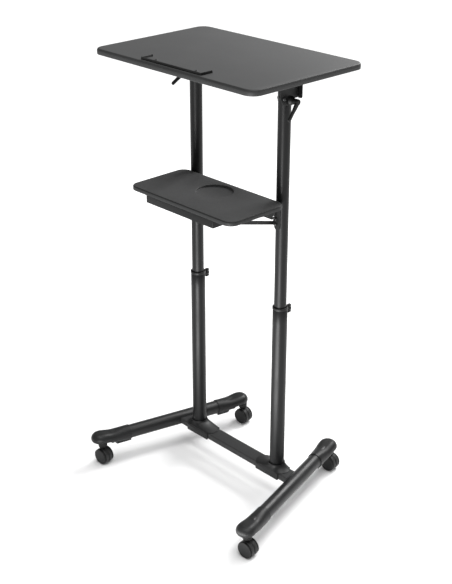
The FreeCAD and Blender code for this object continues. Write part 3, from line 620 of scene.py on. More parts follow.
def stop_bolts():
    """Pins from the outer cheeks, with a domed head outside."""
    centre = middle("stop_bolts")
    column = middle("inner_tube_right").x
    cheek = 2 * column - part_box("tilt_bracket_right")[0].x
    pin_start = column + 3 * MM
    length = cheek - pin_start
    dome = [(6.0, -0.2), (6.0, 0.6), (5.4, 1.8), (4.3, 2.8), (2.8, 3.5), (1.2, 3.9), (0.0, 3.98)]
    pin = in_mm([(0.0, 0.0), (3.6, 0.0), (4.0, 0.4)]) + in_mm([(4.0, 0.0), (0.0, 0.0)], length)
    bm = bmesh.new()
    for side in SIDES.values():
        lathe(bm, in_mm(dome), Vector((side * cheek, centre.y, centre.z)), X_AXIS * side, 40)
        lathe(bm, pin, Vector((side * pin_start, centre.y, centre.z)), X_AXIS * side, 32)
    make_piece("tilt_stop_bolts", bm, "desktop", [OXIDE], ["stop_bolts"])


def pivot_bolt(name, side):
    """Bolt through both cheeks, with a washer under the clamp lever."""
    node = "pivot_bolt_" + name
    pivot = Vector(JOINTS["desktop_tilt"]["pos_m"])
    inside = inner_outer("tilt_bracket_" + name, side)[0]
    outside = 2 * middle("inner_tube_" + name).x - inside
    start = Vector((inside, pivot.y, pivot.z))
    length = abs(inner_outer(node, side)[1] - inside)
    thick = abs(inner_outer("clamp_lever_" + name, side)[0] - outside) - 0.3 * MM
    head = [(0.0, -2.5), (4.8, -2.5), (5.6, -2.0), (6.0, -1.3), (6.0, 0.0), (0.0, 0.0)]
    shank = in_mm([(0.0, 0.0), (4.0, 0.0)]) + in_mm([(4.0, -0.6), (3.4, 0.0), (0.0, 0.0)], length)
    washer = in_mm([(0.0, 0.0), (9.4, 0.0), (10.0, 0.5)])
    washer += in_mm([(10.0, -0.4), (9.5, 0.0), (0.0, 0.0)], thick)
    bm = bmesh.new()
    lathe(bm, in_mm(head), start, X_AXIS * side, 40)
    lathe(bm, shank, start, X_AXIS * side, 32)
    lathe(bm, washer, Vector((outside, pivot.y, pivot.z)), X_AXIS * side, 40)
    make_piece("tilt_pivot_" + name, bm, "desktop", [OXIDE], [node])


def clamp_lever(name, side):
    """Hub on the pivot bolt, with a flat arm that narrows to a round end."""
    node = "clamp_lever_" + name
    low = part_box(node)[0]
    pivot = Vector(JOINTS["desktop_tilt"]["pos_m"])
    root, tip = inner_outer(node, side)
    axis = X_AXIS * side
    hub = in_mm([(4.1, 0.3), (4.1, 0.0), (11.6, 0.0), (12.0, 0.6), (11.2, 2.6), (9.4, 5.0), (8.2, 7.4),
                 (8.0, 9.0)])
    hub += in_mm([(8.0, -2.2), (7.5, -0.9), (6.2, -0.15), (4.4, 0.0), (4.0, -0.7), (0.0, -0.7)],
                 abs(tip - root))
    bm = bmesh.new()
    lathe(bm, hub, Vector((root, pivot.y, pivot.z)), axis, 48)
    end_y, end_z = low.y + LEVER_END_HALF, low.z + LEVER_END_HALF
    along = Vector((0, end_y - pivot.y, end_z - pivot.z))
    reach = along.length
    along.normalize()
    across = axis.cross(along)
    stations = []
    for k in range(15):
        share = k / 14
        half = LEVER_ROOT_HALF + (LEVER_END_HALF - LEVER_ROOT_HALF) * smooth_step(share, 0.0, 0.75)
        stations.append((reach * share, half, 1.0 - 0.22 * smooth_step(share, 0.2, 0.9)))
    for k in range(1, 7):
        turn = math.pi / 12 * k
        half = max(LEVER_END_HALF * math.cos(turn), 0.4 * MM)
        fullness = 0.78 * (0.35 + 0.65 * math.cos(turn))
        stations.append((reach + LEVER_END_HALF * math.sin(turn), half, fullness))
    rings = []
    for distance, half, fullness in stations:
        centre = Vector((tip - side * LEVER_THICK / 2, pivot.y, pivot.z)) + along * distance
        depth = LEVER_THICK / 2 * fullness
        rings.append(add_ring(bm, [centre + across * (bulged(math.cos(turn), 0.6) * half)
                                   + axis * (bulged(math.sin(turn), 0.6) * depth)
                                   for turn in turns(24)]))
    skin(bm, rings)
    make_piece("tilt_lever_" + name, bm, node, [DARK_PLASTIC_AND_SHADE], [node], sharp=45)


# ---- columns ----
def tube(name, node, body, rim=0.5 * MM):
    """Round tube along Z with rolled rims, from its CAD box."""
    low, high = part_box(node)
    radius = half_width(node)
    inner = radius - TUBE_WALL
    height = high.z - low.z
    profile = [(inner, rim), (inner + rim, 0), (radius - rim, 0), (radius, rim)]
    profile += [(radius, height * k / 12) for k in range(1, 12)]
    profile += [(radius, height - rim), (radius - rim, height), (inner + rim, height),
                (inner, height - rim)]
    centre = middle(node)
    bm = bmesh.new()
    lathe(bm, profile, Vector((centre.x, centre.y, low.z)), Z_AXIS, 64, closed=True)
    make_piece(name, bm, body, [STEEL], [node], sharp=50)


def tube_collar(name):
    """Bush in the mouth of an outer tube, with a rim that stands over the tube's end."""
    node = "tube_collar_" + name
    low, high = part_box(node)
    rim = half_width(node)
    seat = half_width("outer_tube_" + name)
    bore = half_width("inner_tube_" + name) + 0.06 * MM
    top = high.z - low.z
    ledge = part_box("outer_tube_" + name)[1].z - low.z
    skirt = ledge - 4 * MM
    profile = [(bore, 0), (seat - TUBE_WALL, 0), (seat - TUBE_WALL, ledge), (seat, ledge), (seat, skirt),
               (rim - 0.3 * MM, skirt), (rim, skirt + 0.4 * MM)]
    finishes = [0] * 4 + [1] * 3 + [0] * 9
    profile += [(rim - inset, top - drop) for inset, drop in
                in_mm([(0.0, 4.5), (0.0, 4.3), (0.0, 1.1), (0.35, 0.35), (1.1, 0.0)])]
    profile += [(bore + out, top - drop) for out, drop in
                in_mm([(1.5, 0.0), (1.0, 0.4), (0.8, 2.4), (0.0, 2.8)])]
    centre = middle(node)
    bm = bmesh.new()
    lathe(bm, profile, Vector((centre.x, centre.y, low.z)), Z_AXIS, 64, finishes, closed=True)
    make_piece("telescope_collar_" + name, bm, "base", [DARK_PLASTIC_AND_SHADE, STEEL], [node],
               sharp=40)


def knob_nut(name):
    """Threaded boss on an outer tube, with a weld bead that follows the tube's curve."""
    node = "knob_nut_" + name
    centre = middle(node)
    column_y = middle("outer_tube_" + name).y
    origin = Vector((centre.x, column_y, centre.z))
    radius = half_width(node)
    tube_radius = half_width("outer_tube_" + name)
    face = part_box(node)[1].y - column_y
    profile = [(4.2 * MM, tube_radius - 2 * MM), (radius, tube_radius - 2 * MM),
               (radius, face - 0.7 * MM), (radius - 0.6 * MM, face), (4.8 * MM, face),
               (4.2 * MM, face - 0.6 * MM)]
    bm = bmesh.new()
    lathe(bm, profile, origin, Y_AXIS, 40, closed=True)
    bead = []
    for turn in turns(48):
        out = Vector((math.sin(turn), 0, math.cos(turn)))
        place = origin + out * (radius + 0.3 * MM)
        place.y += math.sqrt(tube_radius ** 2 - (radius * out.x) ** 2)
        size = (0.95 + 0.16 * math.sin(9 * turn)) * MM
        bead.append(add_ring(bm, hoop(place, out, Y_AXIS, size, 10)))
    skin(bm, bead + bead[:1], caps=False)
    make_piece("welded_nut_" + name, bm, "base", [STEEL], [node])


def height_knob(name):
    """T-shaped wing with a hub, on a threaded screw."""
    node = "height_knob_" + name
    low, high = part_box(node)
    centre = middle(node)
    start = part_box("knob_nut_" + name)[1].y + KNOB_GAP
    half_tall = (high.z - low.z) / 2
    bm = bmesh.new()
    rings = []
    for share, scale in ((0.0, 0.9), (0.06, 0.97), (0.2, 1.0), (0.7, 1.0), (0.9, 0.95), (1.0, 0.84)):
        ring = []
        inset = (1 - scale) * KNOB_HALF
        for turn in turns(40):
            tall = bulged(math.cos(turn), 0.45) * half_tall
            pinch = 0.72 + 0.28 * smooth_step(abs(tall), 0.25 * half_tall, 0.8 * half_tall)
            wide = bulged(math.sin(turn), 0.55) * KNOB_HALF * pinch
            tall, wide = (size - math.copysign(min(inset, abs(size)), size) for size in (tall, wide))
            ring.append(Vector((centre.x + wide, start + KNOB_DEEP * share, centre.z + tall)))
        rings.append(add_ring(bm, ring))
    skin(bm, rings)
    hub = in_mm([(0.0, -2.0), (5.4, -2.0), (6.0, -1.2)])
    hub += in_mm([(6.0, -3.4), (5.6, -1.7), (4.5, -0.5), (2.6, -0.05), (0.0, 0.0)], high.y - start)
    lathe(bm, hub, Vector((centre.x, start, centre.z)), Y_AXIS, 40)
    make_piece("clamp_knob_" + name, bm, node, [DARK_PLASTIC_AND_SHADE], [node], sharp=45)
    screw = [(0.0, low.y)]
    pitch = 1.25 * MM
    y = low.y
    while y < start - pitch:
        screw += [(3.45 * MM, y + 0.1 * pitch), (3.95 * MM, y + 0.5 * pitch), (3.45 * MM, y + 0.9 * pitch)]
        y += pitch
    screw += in_mm([(3.4, -0.5), (0.0, -0.5)], start)
    bm = bmesh.new()
    lathe(bm, screw, Vector((centre.x, 0, centre.z)), Y_AXIS, 24)
    make_piece("clamp_screw_" + name, bm, node, [OXIDE])


# ---- shelf ----
def shelf_tray():
    low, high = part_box("shelf_tray")
    cup = next(mount for mount in RECORD["mounts"] if mount["name"] == "cup_recess_floor")
    cup_at = Vector(cup["pos_m"])
    rays = slab_rays(low, high, SHELF_CORNER, spacing=0.010)
    sections = [(5.0, 10.5), (3.2, 12.0), (1.0, 12.0), (0.3, 11.6), (0.0, 10.8), (0.0, 3.6),
                (0.12, 2.5), (0.6, 1.3), (1.5, 0.45), (2.6, 0.08), (3.6, 0.0)]
    bm = bmesh.new()
    rings = [slab_ring(bm, rays, SHELF_CORNER, inset * MM, high.z - drop * MM)
             for inset, drop in sections]
    # outset from the cup's radius in millimetres, and drop in fifths of its depth
    inside = [(0.9, 0.0), (0.25, 0.25), (0.0, 0.9), (0.0, 3.6), (-0.5, 4.6), (-1.6, 5.0)]
    depth = high.z - cup_at.z
    outwards = []
    for anchor, way in rays:
        point = anchor + way * SHELF_CORNER
        outwards.append(Vector((point.x - cup_at.x, point.y - cup_at.y, 0)).normalized())
    for outset, drop in inside:
        place = Vector((cup_at.x, cup_at.y, high.z - drop / 5 * depth))
        rings.append(add_ring(bm, [place + way * (CUP_RADIUS + outset * MM) for way in outwards]))
    # The rim's sides and the underside get the darker copy, painted shade; the top and the cup keep the lit
    # colour.
    edge_count = len(sections) - 2
    skin(bm, rings, [1] * edge_count + [0] * (len(rings) - 1 - edge_count))
    make_piece("shelf_moulding", bm, "columns", [SHELF, SHELF_EDGE_PAINTED_SHADE], ["shelf_tray"],
               sharp=50)


def fold_sheet(bm, faces, thickness, radius):
    """Sheet metal: flat faces given by their corners, rounded at the bends and given a thickness."""
    verts = {}
    for corners in faces:
        ring = []
        for corner in corners:
            key = tuple(round(part, 6) for part in corner)
            if key not in verts:
                verts[key] = bm.verts.new(corner)
            ring.append(verts[key])
        bm.faces.new(ring)
    bm.edges.ensure_lookup_table()
    chosen = [edge for edge in bm.edges if len(edge.link_faces) == 2]
    bmesh.ops.bevel(bm, geom=chosen, offset=radius, segments=4, profile=0.5, affect="EDGES",
                    clamp_overlap=True)
    bmesh.ops.recalc_face_normals(bm, faces=bm.faces)
    bmesh.ops.solidify(bm, geom=list(bm.faces), thickness=thickness)


def shelf_pan():
    low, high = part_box("shelf_pan")
    top, bottom = high.z, low.z
    a, b = Vector((low.x, low.y, top)), Vector((high.x, low.y, top))
    c, d = Vector((high.x, high.y, top)), Vector((low.x, high.y, top))
    down = Vector((0, 0, bottom - top))
    bm = bmesh.new()
    fold_sheet(bm, [(a, b, c, d), (a, b, b + down, a + down), (b, c, c + down, b + down),
                    (d, a, a + down, d + down)], SHEET, 3 * MM)
    fit_box(bm, low, high)
    make_piece("shelf_underpan", bm, "columns", [STEEL], ["shelf_pan"])


def fit_box(bm, low, high):
    """Keeps a folded sheet inside the box of its CAD node."""
    for vert in bm.verts:
        for axis in range(3):
            vert.co[axis] = min(high[axis], max(low[axis], vert.co[axis]))


def rear_rail():
    low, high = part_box("shelf_rear_rail")
    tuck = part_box("shelf_pan")[1].x - 10 * MM
    face = high.y
    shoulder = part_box("shelf_brace_right")[0].z + 26 * MM
    half = high.x - RAIL_EAR
    shape = [(-high.x, high.z), (high.x, high.z), (high.x, shoulder), (half, shoulder),
             (half, low.z), (-half, low.z), (-half, shoulder), (-high.x, shoulder)]
    upright = rounded([Vector((x, face, z)) for x, z in shape],
                      [0, 0, 2 * MM, 1 * MM, 4 * MM, 4 * MM, 1 * MM, 2 * MM])
    bm = bmesh.new()
    prism(bm, upright, Y_AXIS * -SHEET)
    fold = box_outline((-tuck, low.y), (tuck, face - SHEET), low.z)
    prism(bm, rounded(fold, [3 * MM, 3 * MM, 0, 0]), Z_AXIS * SHEET)
    make_piece("shelf_back_rail", bm, "columns", [BRACKET],
               ["shelf_rear_rail"], bevel=0.5 * MM)


def shelf_bracket(name):
    node = "shelf_bracket_" + name
    low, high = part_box(node)
    strip = panel_outline((low.x, high.x), (low.z, high.z), low.y)
    bm = bmesh.new()
    prism(bm, rounded(strip, [7 * MM, 7 * MM, 0, 0]), Y_AXIS * (high.y - low.y))
    make_piece("shelf_strip_" + name, bm, "columns", [BRACKET], [node],
               bevel=0.6 * MM)


def shelf_brace(name, side):
    """Sloping bar, with a heel against the strip on the column and a toe under the tray."""
    node = "shelf_brace_" + name
    low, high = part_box(node)
    plane = inner_outer(node, side)[0]
    front, back = low.y + BRACE_FRONT, high.y
    top, bottom = high.z, low.z
    bar = [(back, bottom), (back, bottom + BRACE_HEIGHT), (front, top), (front, top - BRACE_HEIGHT)]
    bm = bmesh.new()
    prism(bm, rounded(side_outline(plane, bar), [0, 0, 0, 4 * MM]), X_AXIS * side * SHEET)
    heel = panel_outline(sorted((plane, plane + side * HEEL_WIDE)), (bottom, bottom + HEEL_TALL), back)
    prism(bm, rounded(heel, 2 * MM), Y_AXIS * -SHEET)
    ends = sorted((plane, plane + side * TOE_WIDE))
    toe = box_outline((ends[0], low.y), (ends[1], low.y + TOE_LONG), top - SHEET)
    prism(bm, rounded(toe, 3 * MM), Z_AXIS * SHEET)
    make_piece("shelf_stay_" + name, bm, "columns", [BRACKET], [node],
               bevel=0.5 * MM)


def shelf_bolts():
    low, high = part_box("shelf_bolts")
    strip_low, strip_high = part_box("shelf_bracket_right")
    column = middle("inner_tube_right").x
    face = strip_low.y - SHEET
    spots = []
    for side in SIDES.values():
        for height in STRIP_BOLTS:
            spots.append((Vector((side * (column - 3 * MM), face, strip_low.z + height)), -Y_AXIS))
    bolt_row("shelf_side_bolts", "shelf_bolts", "columns", spots,
             4.2 * MM, 2.6 * MM, 1.7 * MM)
    spots = [(Vector((side * (high.x - 7.2 * MM), low.y + 4.5 * MM, strip_high.z - SHEET)), -Z_AXIS)
             for side in SIDES.values()]
    bolt_row("shelf_toe_screws", "shelf_bolts", "columns", spots,
             4.5 * MM, 2.4 * MM, 1.7 * MM)


# ---- base ----
def foot_way(side):
    """Along a foot, towards the reader."""
    return Vector((side * math.sin(FOOT_SPLAY), -math.cos(FOOT_SPLAY), 0))


def foot_tube(name, side):
    low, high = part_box("foot_tube_" + name)
    radius = (high.z - low.z) / 2
    length = (high.y - low.y - 2 * radius * math.sin(FOOT_SPLAY)) / math.cos(FOOT_SPLAY)
    way = foot_way(side)
    start = middle("foot_tube_" + name) - way * (length / 2)
    inner = radius - TUBE_WALL
    profile = [(inner, 0), (radius, 0)] + [(radius, length * k / 12) for k in range(1, 12)]
    profile += [(radius, length), (inner, length)]
    bm = bmesh.new()
    lathe(bm, profile, start, way, 64, closed=True)
    make_piece("foot_bar_" + name, bm, "base", [FOOT_STEEL], ["foot_tube_" + name],
               sharp=50)


def beam_end(side, y, z):
    """Where the beam's skin meets the foot tube."""
    low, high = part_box("foot_tube_right")
    radius = (high.z - low.z) / 2
    centre = middle("foot_tube_right")
    column_y = middle("cross_beam").y
    crossing = centre.x - math.tan(FOOT_SPLAY) * (column_y - centre.y)
    half = math.sqrt(max(0.0, radius ** 2 - (z - centre.z) ** 2)) / math.cos(FOOT_SPLAY)
    return side * (crossing - math.tan(FOOT_SPLAY) * (y - column_y) - half + 0.3 * MM)


def cross_beam():
    low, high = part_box("cross_beam")
    corners = [Vector((0, low.y, low.z)), Vector((0, high.y, low.z)),
               Vector((0, high.y, high.z)), Vector((0, low.y, high.z))]
    outline = rounded(corners, BEAM_FILLET)
    ends = {side: [Vector((beam_end(side, point.y, point.z), point.y, point.z)) for point in outline]
            for side in (-1, 1)}
    bm = bmesh.new()
    skin(bm, [add_ring(bm, [a.lerp(b, k / 12) for a, b in zip(ends[-1], ends[1])]) for k in range(13)])
    # The beam gets the lighter copy of the frame steel, painted light.
    make_piece("base_beam", bm, "base", [BEAM_STEEL_PAINTED_LIGHT], ["cross_beam"], sharp=40)
    bm = bmesh.new()
    for side in (-1, 1):
        weld_bead(bm, ends[side], 1.3 * MM)
    make_piece("base_welds", bm, "base", [STEEL])


def weld_bead(bm, path, size):
    """Rippled bead along a closed path."""
    fine = []
    for start, end in zip(path, path[1:] + path[:1]):
        count = max(1, int((end - start).length / (0.8 * MM)))
        fine += [start.lerp(end, k / count) for k in range(count)]
    centre = sum(fine, Vector((0, 0, 0))) / len(fine)
    rings = []
    for k, point in enumerate(fine):
        along = (fine[(k + 1) % len(fine)] - fine[k - 1]).normalized()
        out = point - centre
        out = (out - along * out.dot(along)).normalized()
        radius = size * (1 + 0.13 * math.sin(k * 1.9))
        rings.append(add_ring(bm, hoop(point, out, along.cross(out), radius, 8)))
    skin(bm, rings + rings[:1], caps=False)


def foot_cap(corner, side, end):
    """Plastic foot end: a sleeve and keel that flow into a flattened round nose."""
    node = "foot_cap_" + corner
    low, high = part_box(node)
    foot = "foot_tube_" + corner.split("_")[1]
    tube_low, tube_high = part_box(foot)
    tube_radius = (tube_high.z - tube_low.z) / 2
    way = foot_way(side) * end
    nose_y = low.y + NOSE_RADIUS if end > 0 else high.y - NOSE_RADIUS
    nose = middle(foot) + way * ((nose_y - middle(foot).y) / way.y)
    rim_reach = CAP_RADIUS * math.sin(FOOT_SPLAY)
    collar_y = high.y - rim_reach if end > 0 else low.y + rim_reach
    to_nose = (nose_y - collar_y) / way.y
    start = nose - way * to_nose
    across = way.cross(Z_AXIS)
    runs = [0.0, 0.25 * MM, 0.8 * MM]
    runs += [2 * MM + (to_nose - 2 * MM) * k / 40 for k in range(41)]
    runs += [to_nose + NOSE_RADIUS * math.sin(math.pi / 2 * k / 16) * 0.9995 for k in range(1, 17)]
    bm = bmesh.new()
    rings = []
    lip = CAP_RADIUS - 0.6 * MM
    for radius, run in ((tube_radius, 4.0 * MM), (lip - 0.35 * MM, 4.0 * MM), (lip - 0.15 * MM, 0.35 * MM)):
        rings.append(add_ring(bm, section(start + way * run, across, [radius] * 72)))
    for run in runs:
        easing = 0.5 * MM * max(0.0, 1 - run / (0.8 * MM)) ** 2
        radii = [cap_radius(run, turn, to_nose, KEEL_LENGTHS[end], start.z - low.z) - easing
                 for turn in turns(72)]
        centre = start + way * run + Z_AXIS * nose_lift(run, to_nose)
        rings.append(add_ring(bm, section(centre, across, radii)))
    # The groove between the cap's lip and the tube, the lip's inside and its end are painted dark, as shade.
    skin(bm, rings, [1] * 3 + [0] * (len(rings) - 4), caps=False)
    bm.faces.new(rings[-1])
    make_piece("foot_end_" + corner, bm, "base", [PLASTIC, DARK_PLASTIC_AND_SHADE], [node],
               sharp=45)


def section(centre, across, radii):
    """Ring of points round the foot's axis, from straight up towards the across direction."""
    return [centre + (Z_AXIS * math.cos(turn) + across * math.sin(turn)) * radius
            for turn, radius in zip(turns(len(radii)), radii)]


def nose_lift(run, to_nose):
    """How far the middle of a cross-section lies above the foot's axis."""
    return NOSE_WIDEST * smooth_step(run, to_nose - 45 * MM, to_nose)


def nose_radius(turn, beyond):
    """Distance from the nose's middle to its skin, in a cross-section that far past its centre."""
    rounding = NOSE_RISE if math.cos(turn) > 0 else NOSE_FALL
    inside, outside = 0.0, 1.5 * NOSE_RADIUS
    for _ in range(26):
        trial = (inside + outside) / 2
        rise = abs(trial * math.cos(turn))
        fits = rise < rounding
        if fits:
            skin_radius = NOSE_RADIUS - rounding + math.sqrt(rounding ** 2 - rise ** 2)
            fits = math.hypot(trial * math.sin(turn), beyond) < skin_radius
        inside, outside = (trial, outside) if fits else (inside, trial)
    return inside


def cap_radius(run, turn, to_nose, keel_length, keel_drop):
    """Distance from the middle of a cap's cross-section to its skin, at a turn from straight up."""
    if run > to_nose:
        return max(nose_radius(turn, run - to_nose), 0.05 * MM)
    up = math.cos(turn)
    out = abs(math.sin(turn))
    lift = nose_lift(run, to_nose)
    sleeve = math.sqrt(CAP_RADIUS ** 2 - (out * lift) ** 2) - up * lift
    nose_middle = nose_radius(turn, 0.0)
    widen = smooth_step(run, to_nose - CAP_TAPER, to_nose - 4 * MM)
    radius = sleeve + (nose_middle - sleeve) * widen
    if up < -0.05:
        ramp = smooth_step(run, keel_length, keel_length + KEEL_RAMP)
        if ramp < 1:
            keel = min(KEEL_HALF / max(out, 1e-3), (keel_drop + lift) / abs(up))
            radius = smooth_max(radius, keel, 0.8 * MM)
        drop = keel_drop + (NOSE_FALL - NOSE_WIDEST - keel_drop) * ramp
        radius = smooth_min(radius, (drop + lift) / abs(up), 1.0 * MM * ramp + 0.1 * MM)
    return radius


def shroud(name, side):
    """Moulded cover where a column meets the beam: saddle plates, and a flare up to the column."""
    node = "column_shroud_" + name
    low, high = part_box(node)
    beam_low, beam_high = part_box("cross_beam")
    column = middle("outer_tube_" + name)
    bore = half_width("outer_tube_" + name)
    rim = bore + 3 * MM
    base, top = beam_high.z, high.z
    inward, outward = (abs(x - column.x) for x in inner_outer(node, side))
    half_wide = (high.y - low.y) / 2
    foot = base + 1.6 * MM
    outlines = [(inward + swell, outward + swell, half_wide + swell, base + lift)
                for swell, lift in in_mm([(-1.0, -0.3), (-0.2, 0.5), (0.0, 1.6)])]
    for k in range(1, 19):
        share = k / 18
        left = (1 - share) ** 2.1
        reaches = [rim + (reach - rim) * left for reach in (inward, outward, half_wide)]
        outlines.append((*reaches, foot + (top - foot) * share))
    for out, drop in in_mm([(1.5, 0.0), (0.9, 0.4), (0.8, 2.5), (0.0, 3.0)]):
        outlines.append((bore + out, bore + out, bore + out, top - drop))
    bm = bmesh.new()
    rings = [add_ring(bm, stadium(column, side, *outline)) for outline in outlines]
    skin(bm, rings, [0] * (len(rings) - 4) + [1] * 3, caps=False)
    ends = sorted((column.x - side * PLATE_INWARD, column.x + side * PLATE_OUTWARD))
    for near, far in ((beam_high.y, high.y), (beam_low.y, low.y)):
        saddle_plate(bm, ends, (low.z, base + 0.2 * MM), near, far)
    make_piece("column_cover_" + name, bm, "base", [PLASTIC, DARK_PLASTIC_AND_SHADE], [node],
               sharp=48)


def saddle_plate(bm, ends, levels, near, far):
    """Plate on one side of the beam, from near to far along Y, with its outer edge eased."""
    face = rounded(panel_outline(ends, levels, near), [2.5 * MM, 2.5 * MM, 1 * MM, 1 * MM], 4)
    centre = sum(face, Vector((0, 0, 0))) / len(face)
    outside = math.copysign(1, far - near)
    depth = abs(far - near)
    ease = 0.9 * MM
    rings = []
    for along, shrink in ((0, 0), (depth - ease, 0), (depth - 0.3 * ease, 0.3 * ease), (depth, ease)):
        rings.append(add_ring(bm, [point + Vector((math.copysign(shrink, centre.x - point.x),
                                                   outside * along,
                                                   math.copysign(shrink, centre.z - point.z)))
                                   for point in face]))
    skin(bm, rings)


def stadium(column, side, inward, outward, half_wide, z, steps=20):
    """Round-ended outline lying flat round a column, half_wide to each side of it."""
    points = []
    for direction, reach in ((1, outward), (-1, inward)):
        centre = Vector((column.x + side * direction * (reach - half_wide), column.y, z))
        for step in range(steps + 1):
            turn = math.pi * (step / steps - 0.5)
            points.append(centre + Vector((side * direction * math.cos(turn), direction * math.sin(turn), 0))
                          * half_wide)
    return points


# ---- casters ----
def caster(corner):
    """Stem and boss, the rib between the wheels, and both wheels."""
    stem = Vector(JOINTS["caster_" + corner + "_swivel"]["pos_m"])
    axle = middle("caster_axle_" + corner)
    roll = Vector(JOINTS["wheel_a_" + corner + "_roll"]["axis"]).normalized()
    way = roll if roll.y < 0 else -roll
    boss = in_mm([(0.0, 26.0), (9.0, 26.0), (12.2, 28.5), (13.6, 33.0), (14.0, 37.0), (14.0, 47.7),
                  (13.4, 49.3), (12.0, 50.0), (5.5, 50.0)])
    boss += in_mm([(5.5, -0.5), (5.0, 0.0), (0.0, 0.0)],
                  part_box("caster_housing_" + corner)[1].z - axle.z)
    bm = bmesh.new()
    lathe(bm, boss, Vector((stem.x, stem.y, axle.z)), Z_AXIS, 48)
    half_rib = 1.1 * MM
    outline = hoop(axle, Vector((-way.y, way.x, 0)), Z_AXIS, RIB_RADIUS, 36)
    for point in outline:
        point.z += 5 * MM * max(0.0, (point.z - axle.z) / RIB_RADIUS)
    prism(bm, [point - way * half_rib for point in outline], way * (2 * half_rib), 1)
    make_piece("caster_hood_" + corner, bm, "caster_" + corner, [DARK_PLASTIC_AND_SHADE, TYRE],
               ["caster_housing_" + corner], bevel=0.7 * MM, sharp=40)
    for letter in "ab":
        wheel(letter, corner, axle, way if letter == "a" else -way)


def wheel(letter, corner, axle, way):
    """One wheel of a pair: tread, a groove painted dark as shade, and cover disc. The profile is in millimetres.
    """
    node = "wheel_" + letter + "_" + corner
    low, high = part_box("caster_" + node)
    big = (high.z - low.z) / 2 / MM
    start = 1.5
    face = 18.0
    profile = [(3.05, start + 0.2), (8.0, start + 0.2), (8.4, start + 1.2), (big - 6.0, start + 1.2),
               (big - 5.4, start), (big - 1.7, start), (big - 0.5, start + 0.5), (big, start + 1.7),
               (big, face - 6.4), (big - 0.25, face - 6.0), (big - 0.8, face - 5.7),
               (big - 2.6, face - 5.6), (big - 2.6, face - 3.3), (big - 1.8, face - 3.2),
               (big - 1.3, face - 3.0), (big - 1.1, face - 2.5), (big - 1.1, face - 1.3),
               (big - 1.5, face - 0.5), (big - 2.3, face - 0.1), (big - 3.6, face),
               (big * 0.5, face), (0.0, face)]
    # The groove between the tread and the cover disc is painted dark, as shade.
    finishes = [1] * 9 + [2] * 4 + [0] * 8
    bm = bmesh.new()
    lathe(bm, in_mm(profile), axle, way, 72, finishes)
    make_piece("caster_wheel_piece_" + letter + "_" + corner, bm, node, [DISC, TYRE, DARK_PLASTIC_AND_SHADE],
               ["caster_wheel_" + letter + "_" + corner], sharp=40)


def finish_cad_nodes():
    """Nodes whose CAD shape is shown as it is."""
    for name, node in frame["nodes"].items():
        if node.hide_render:
            continue
        finish = OXIDE if name.startswith("caster_axle") else DARK_PLASTIC_AND_SHADE
        for slot in node.material_slots:
            slot.material = finish


# ---- studio ----
FLOOR_GAP = 5 * MM
WORLD_LIGHT = 0.4
STRIP_POWERS = {"left": 40, "right": 64}
CAMERA_AZIMUTH = 46.38
CAMERA_ELEVATION = 25.22
CAMERA_DISTANCE = 3.2453
CAMERA_LENS = 70.8
CAMERA_AIM = (-0.0044, -0.0046, -0.0353)    # from the middle of the CAD box


def studio_floor():
    bm = bmesh.new()
    rings = [[bm.verts.new((0, 0, 0))]]
    for radius in (0.5, 1, 2, 4, 8, 16, 30):
        rings.append(add_ring(bm, circle(Vector((0, 0, 0)), Z_AXIS, radius, 64)))
    for first, second in zip(rings, rings[1:]):
        join_rings(bm, first, second)
    mesh = mesh_from("studio_floor", bm)
    finish = Finish("studio_paper", (0.93, 0.93, 0.93), 0.9)
    finish.paint(0.01, 0.0, broad=2.0)
    finish.gloss(0.03)
    mesh.materials.append(finish.done(0.1))
    add_object("studio_floor", mesh)


def sky_way(azimuth, elevation):
    """Direction from the object; azimuth 0 is in front of the reader's edge, 90 to the right."""
    turn, rise = math.radians(azimuth), math.radians(elevation)
    return Vector((math.sin(turn) * math.cos(rise), -math.cos(turn) * math.cos(rise), math.sin(rise)))


def area_data(name, width, height, power):
    data = bpy.data.lights.new(name, "AREA")
    data.shape = "RECTANGLE"
    data.size = width
    data.size_y = height
    data.energy = power
    return data


def softbox(name, azimuth, elevation, distance, width, height, power):
    """Area light that faces the middle of the object."""
    target = Vector((0, 0, (cad_low.z + cad_high.z) / 2))
    back = sky_way(azimuth, elevation)
    add_object(name, area_data(name, width, height, power), target + back * distance, back)


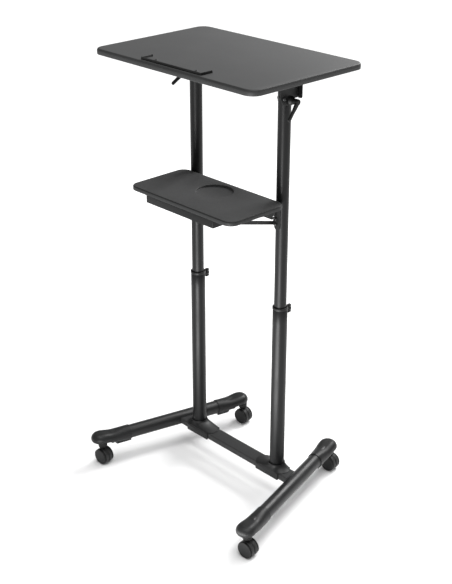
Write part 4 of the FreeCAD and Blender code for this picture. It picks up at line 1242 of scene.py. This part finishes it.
def floor_strip(name, column, azimuth, near, far, width, power):
    """Narrow light that lies face up just above the floor and runs away from a column."""
    place = Vector((column.x, column.y, FLOOR_GAP)) + sky_way(azimuth, 0) * ((near + far) / 2)
    lamp = add_object(name, area_data(name, width, far - near, power), place)
    lamp.rotation_euler = (math.pi, 0, math.radians(azimuth))


def sun_light(name, way, angle, strength):
    """Even light from one side of the sky; angle is how wide the source looks, in degrees."""
    data = bpy.data.lights.new(name, "SUN")
    data.angle = math.radians(angle)
    data.energy = strength
    add_object(name, data, back=Vector(way))


def studio():
    world = bpy.data.worlds.new("studio")
    bpy.context.scene.world = world
    world.use_nodes = True
    backdrop = world.node_tree.nodes["Background"]
    backdrop.inputs["Color"].default_value = (1, 1, 1, 1)
    backdrop.inputs["Strength"].default_value = WORLD_LIGHT
    studio_floor()
    sun_light("overhead_sun", (0.22, 0, 0.97), angle=50, strength=2.6)
    for name, power in STRIP_POWERS.items():
        floor_strip("front_strip_" + name, middle("outer_tube_" + name), azimuth=22, near=0.52, far=3.4,
                    width=0.4, power=power)
    softbox("rear_softbox", azimuth=183, elevation=38, distance=3.4, width=1.6, height=1.5, power=100)


def camera():
    data = bpy.data.cameras.new("camera")
    data.lens = CAMERA_LENS
    data.sensor_width = 36
    back = sky_way(CAMERA_AZIMUTH, CAMERA_ELEVATION)
    aim = (cad_low + cad_high) / 2 + Vector(CAMERA_AIM)
    bpy.context.scene.camera = add_object("camera", data, aim + back * CAMERA_DISTANCE, back)


def build():
    desktop_board()
    book_ledge()
    book_ledge_screws()
    bracket_screws()
    stop_bolts()
    shelf_tray()
    shelf_pan()
    rear_rail()
    shelf_bolts()
    cross_beam()
    for name, side in SIDES.items():
        tilt_bracket(name, side)
        pivot_bolt(name, side)
        clamp_lever(name, side)
        tube("inner_column_" + name, "inner_tube_" + name, "columns")
        tube("outer_column_" + name, "outer_tube_" + name, "base")
        tube_collar(name)
        knob_nut(name)
        height_knob(name)
        shelf_bracket(name)
        shelf_brace(name, side)
        foot_tube(name, side)
        shroud(name, side)
        for end_name, end in ENDS.items():
            corner = end_name + "_" + name
            foot_cap(corner, side, end)
            caster(corner)
    finish_cad_nodes()


bpy.context.scene.view_settings.view_transform = "Standard"
build()
studio()
camera()
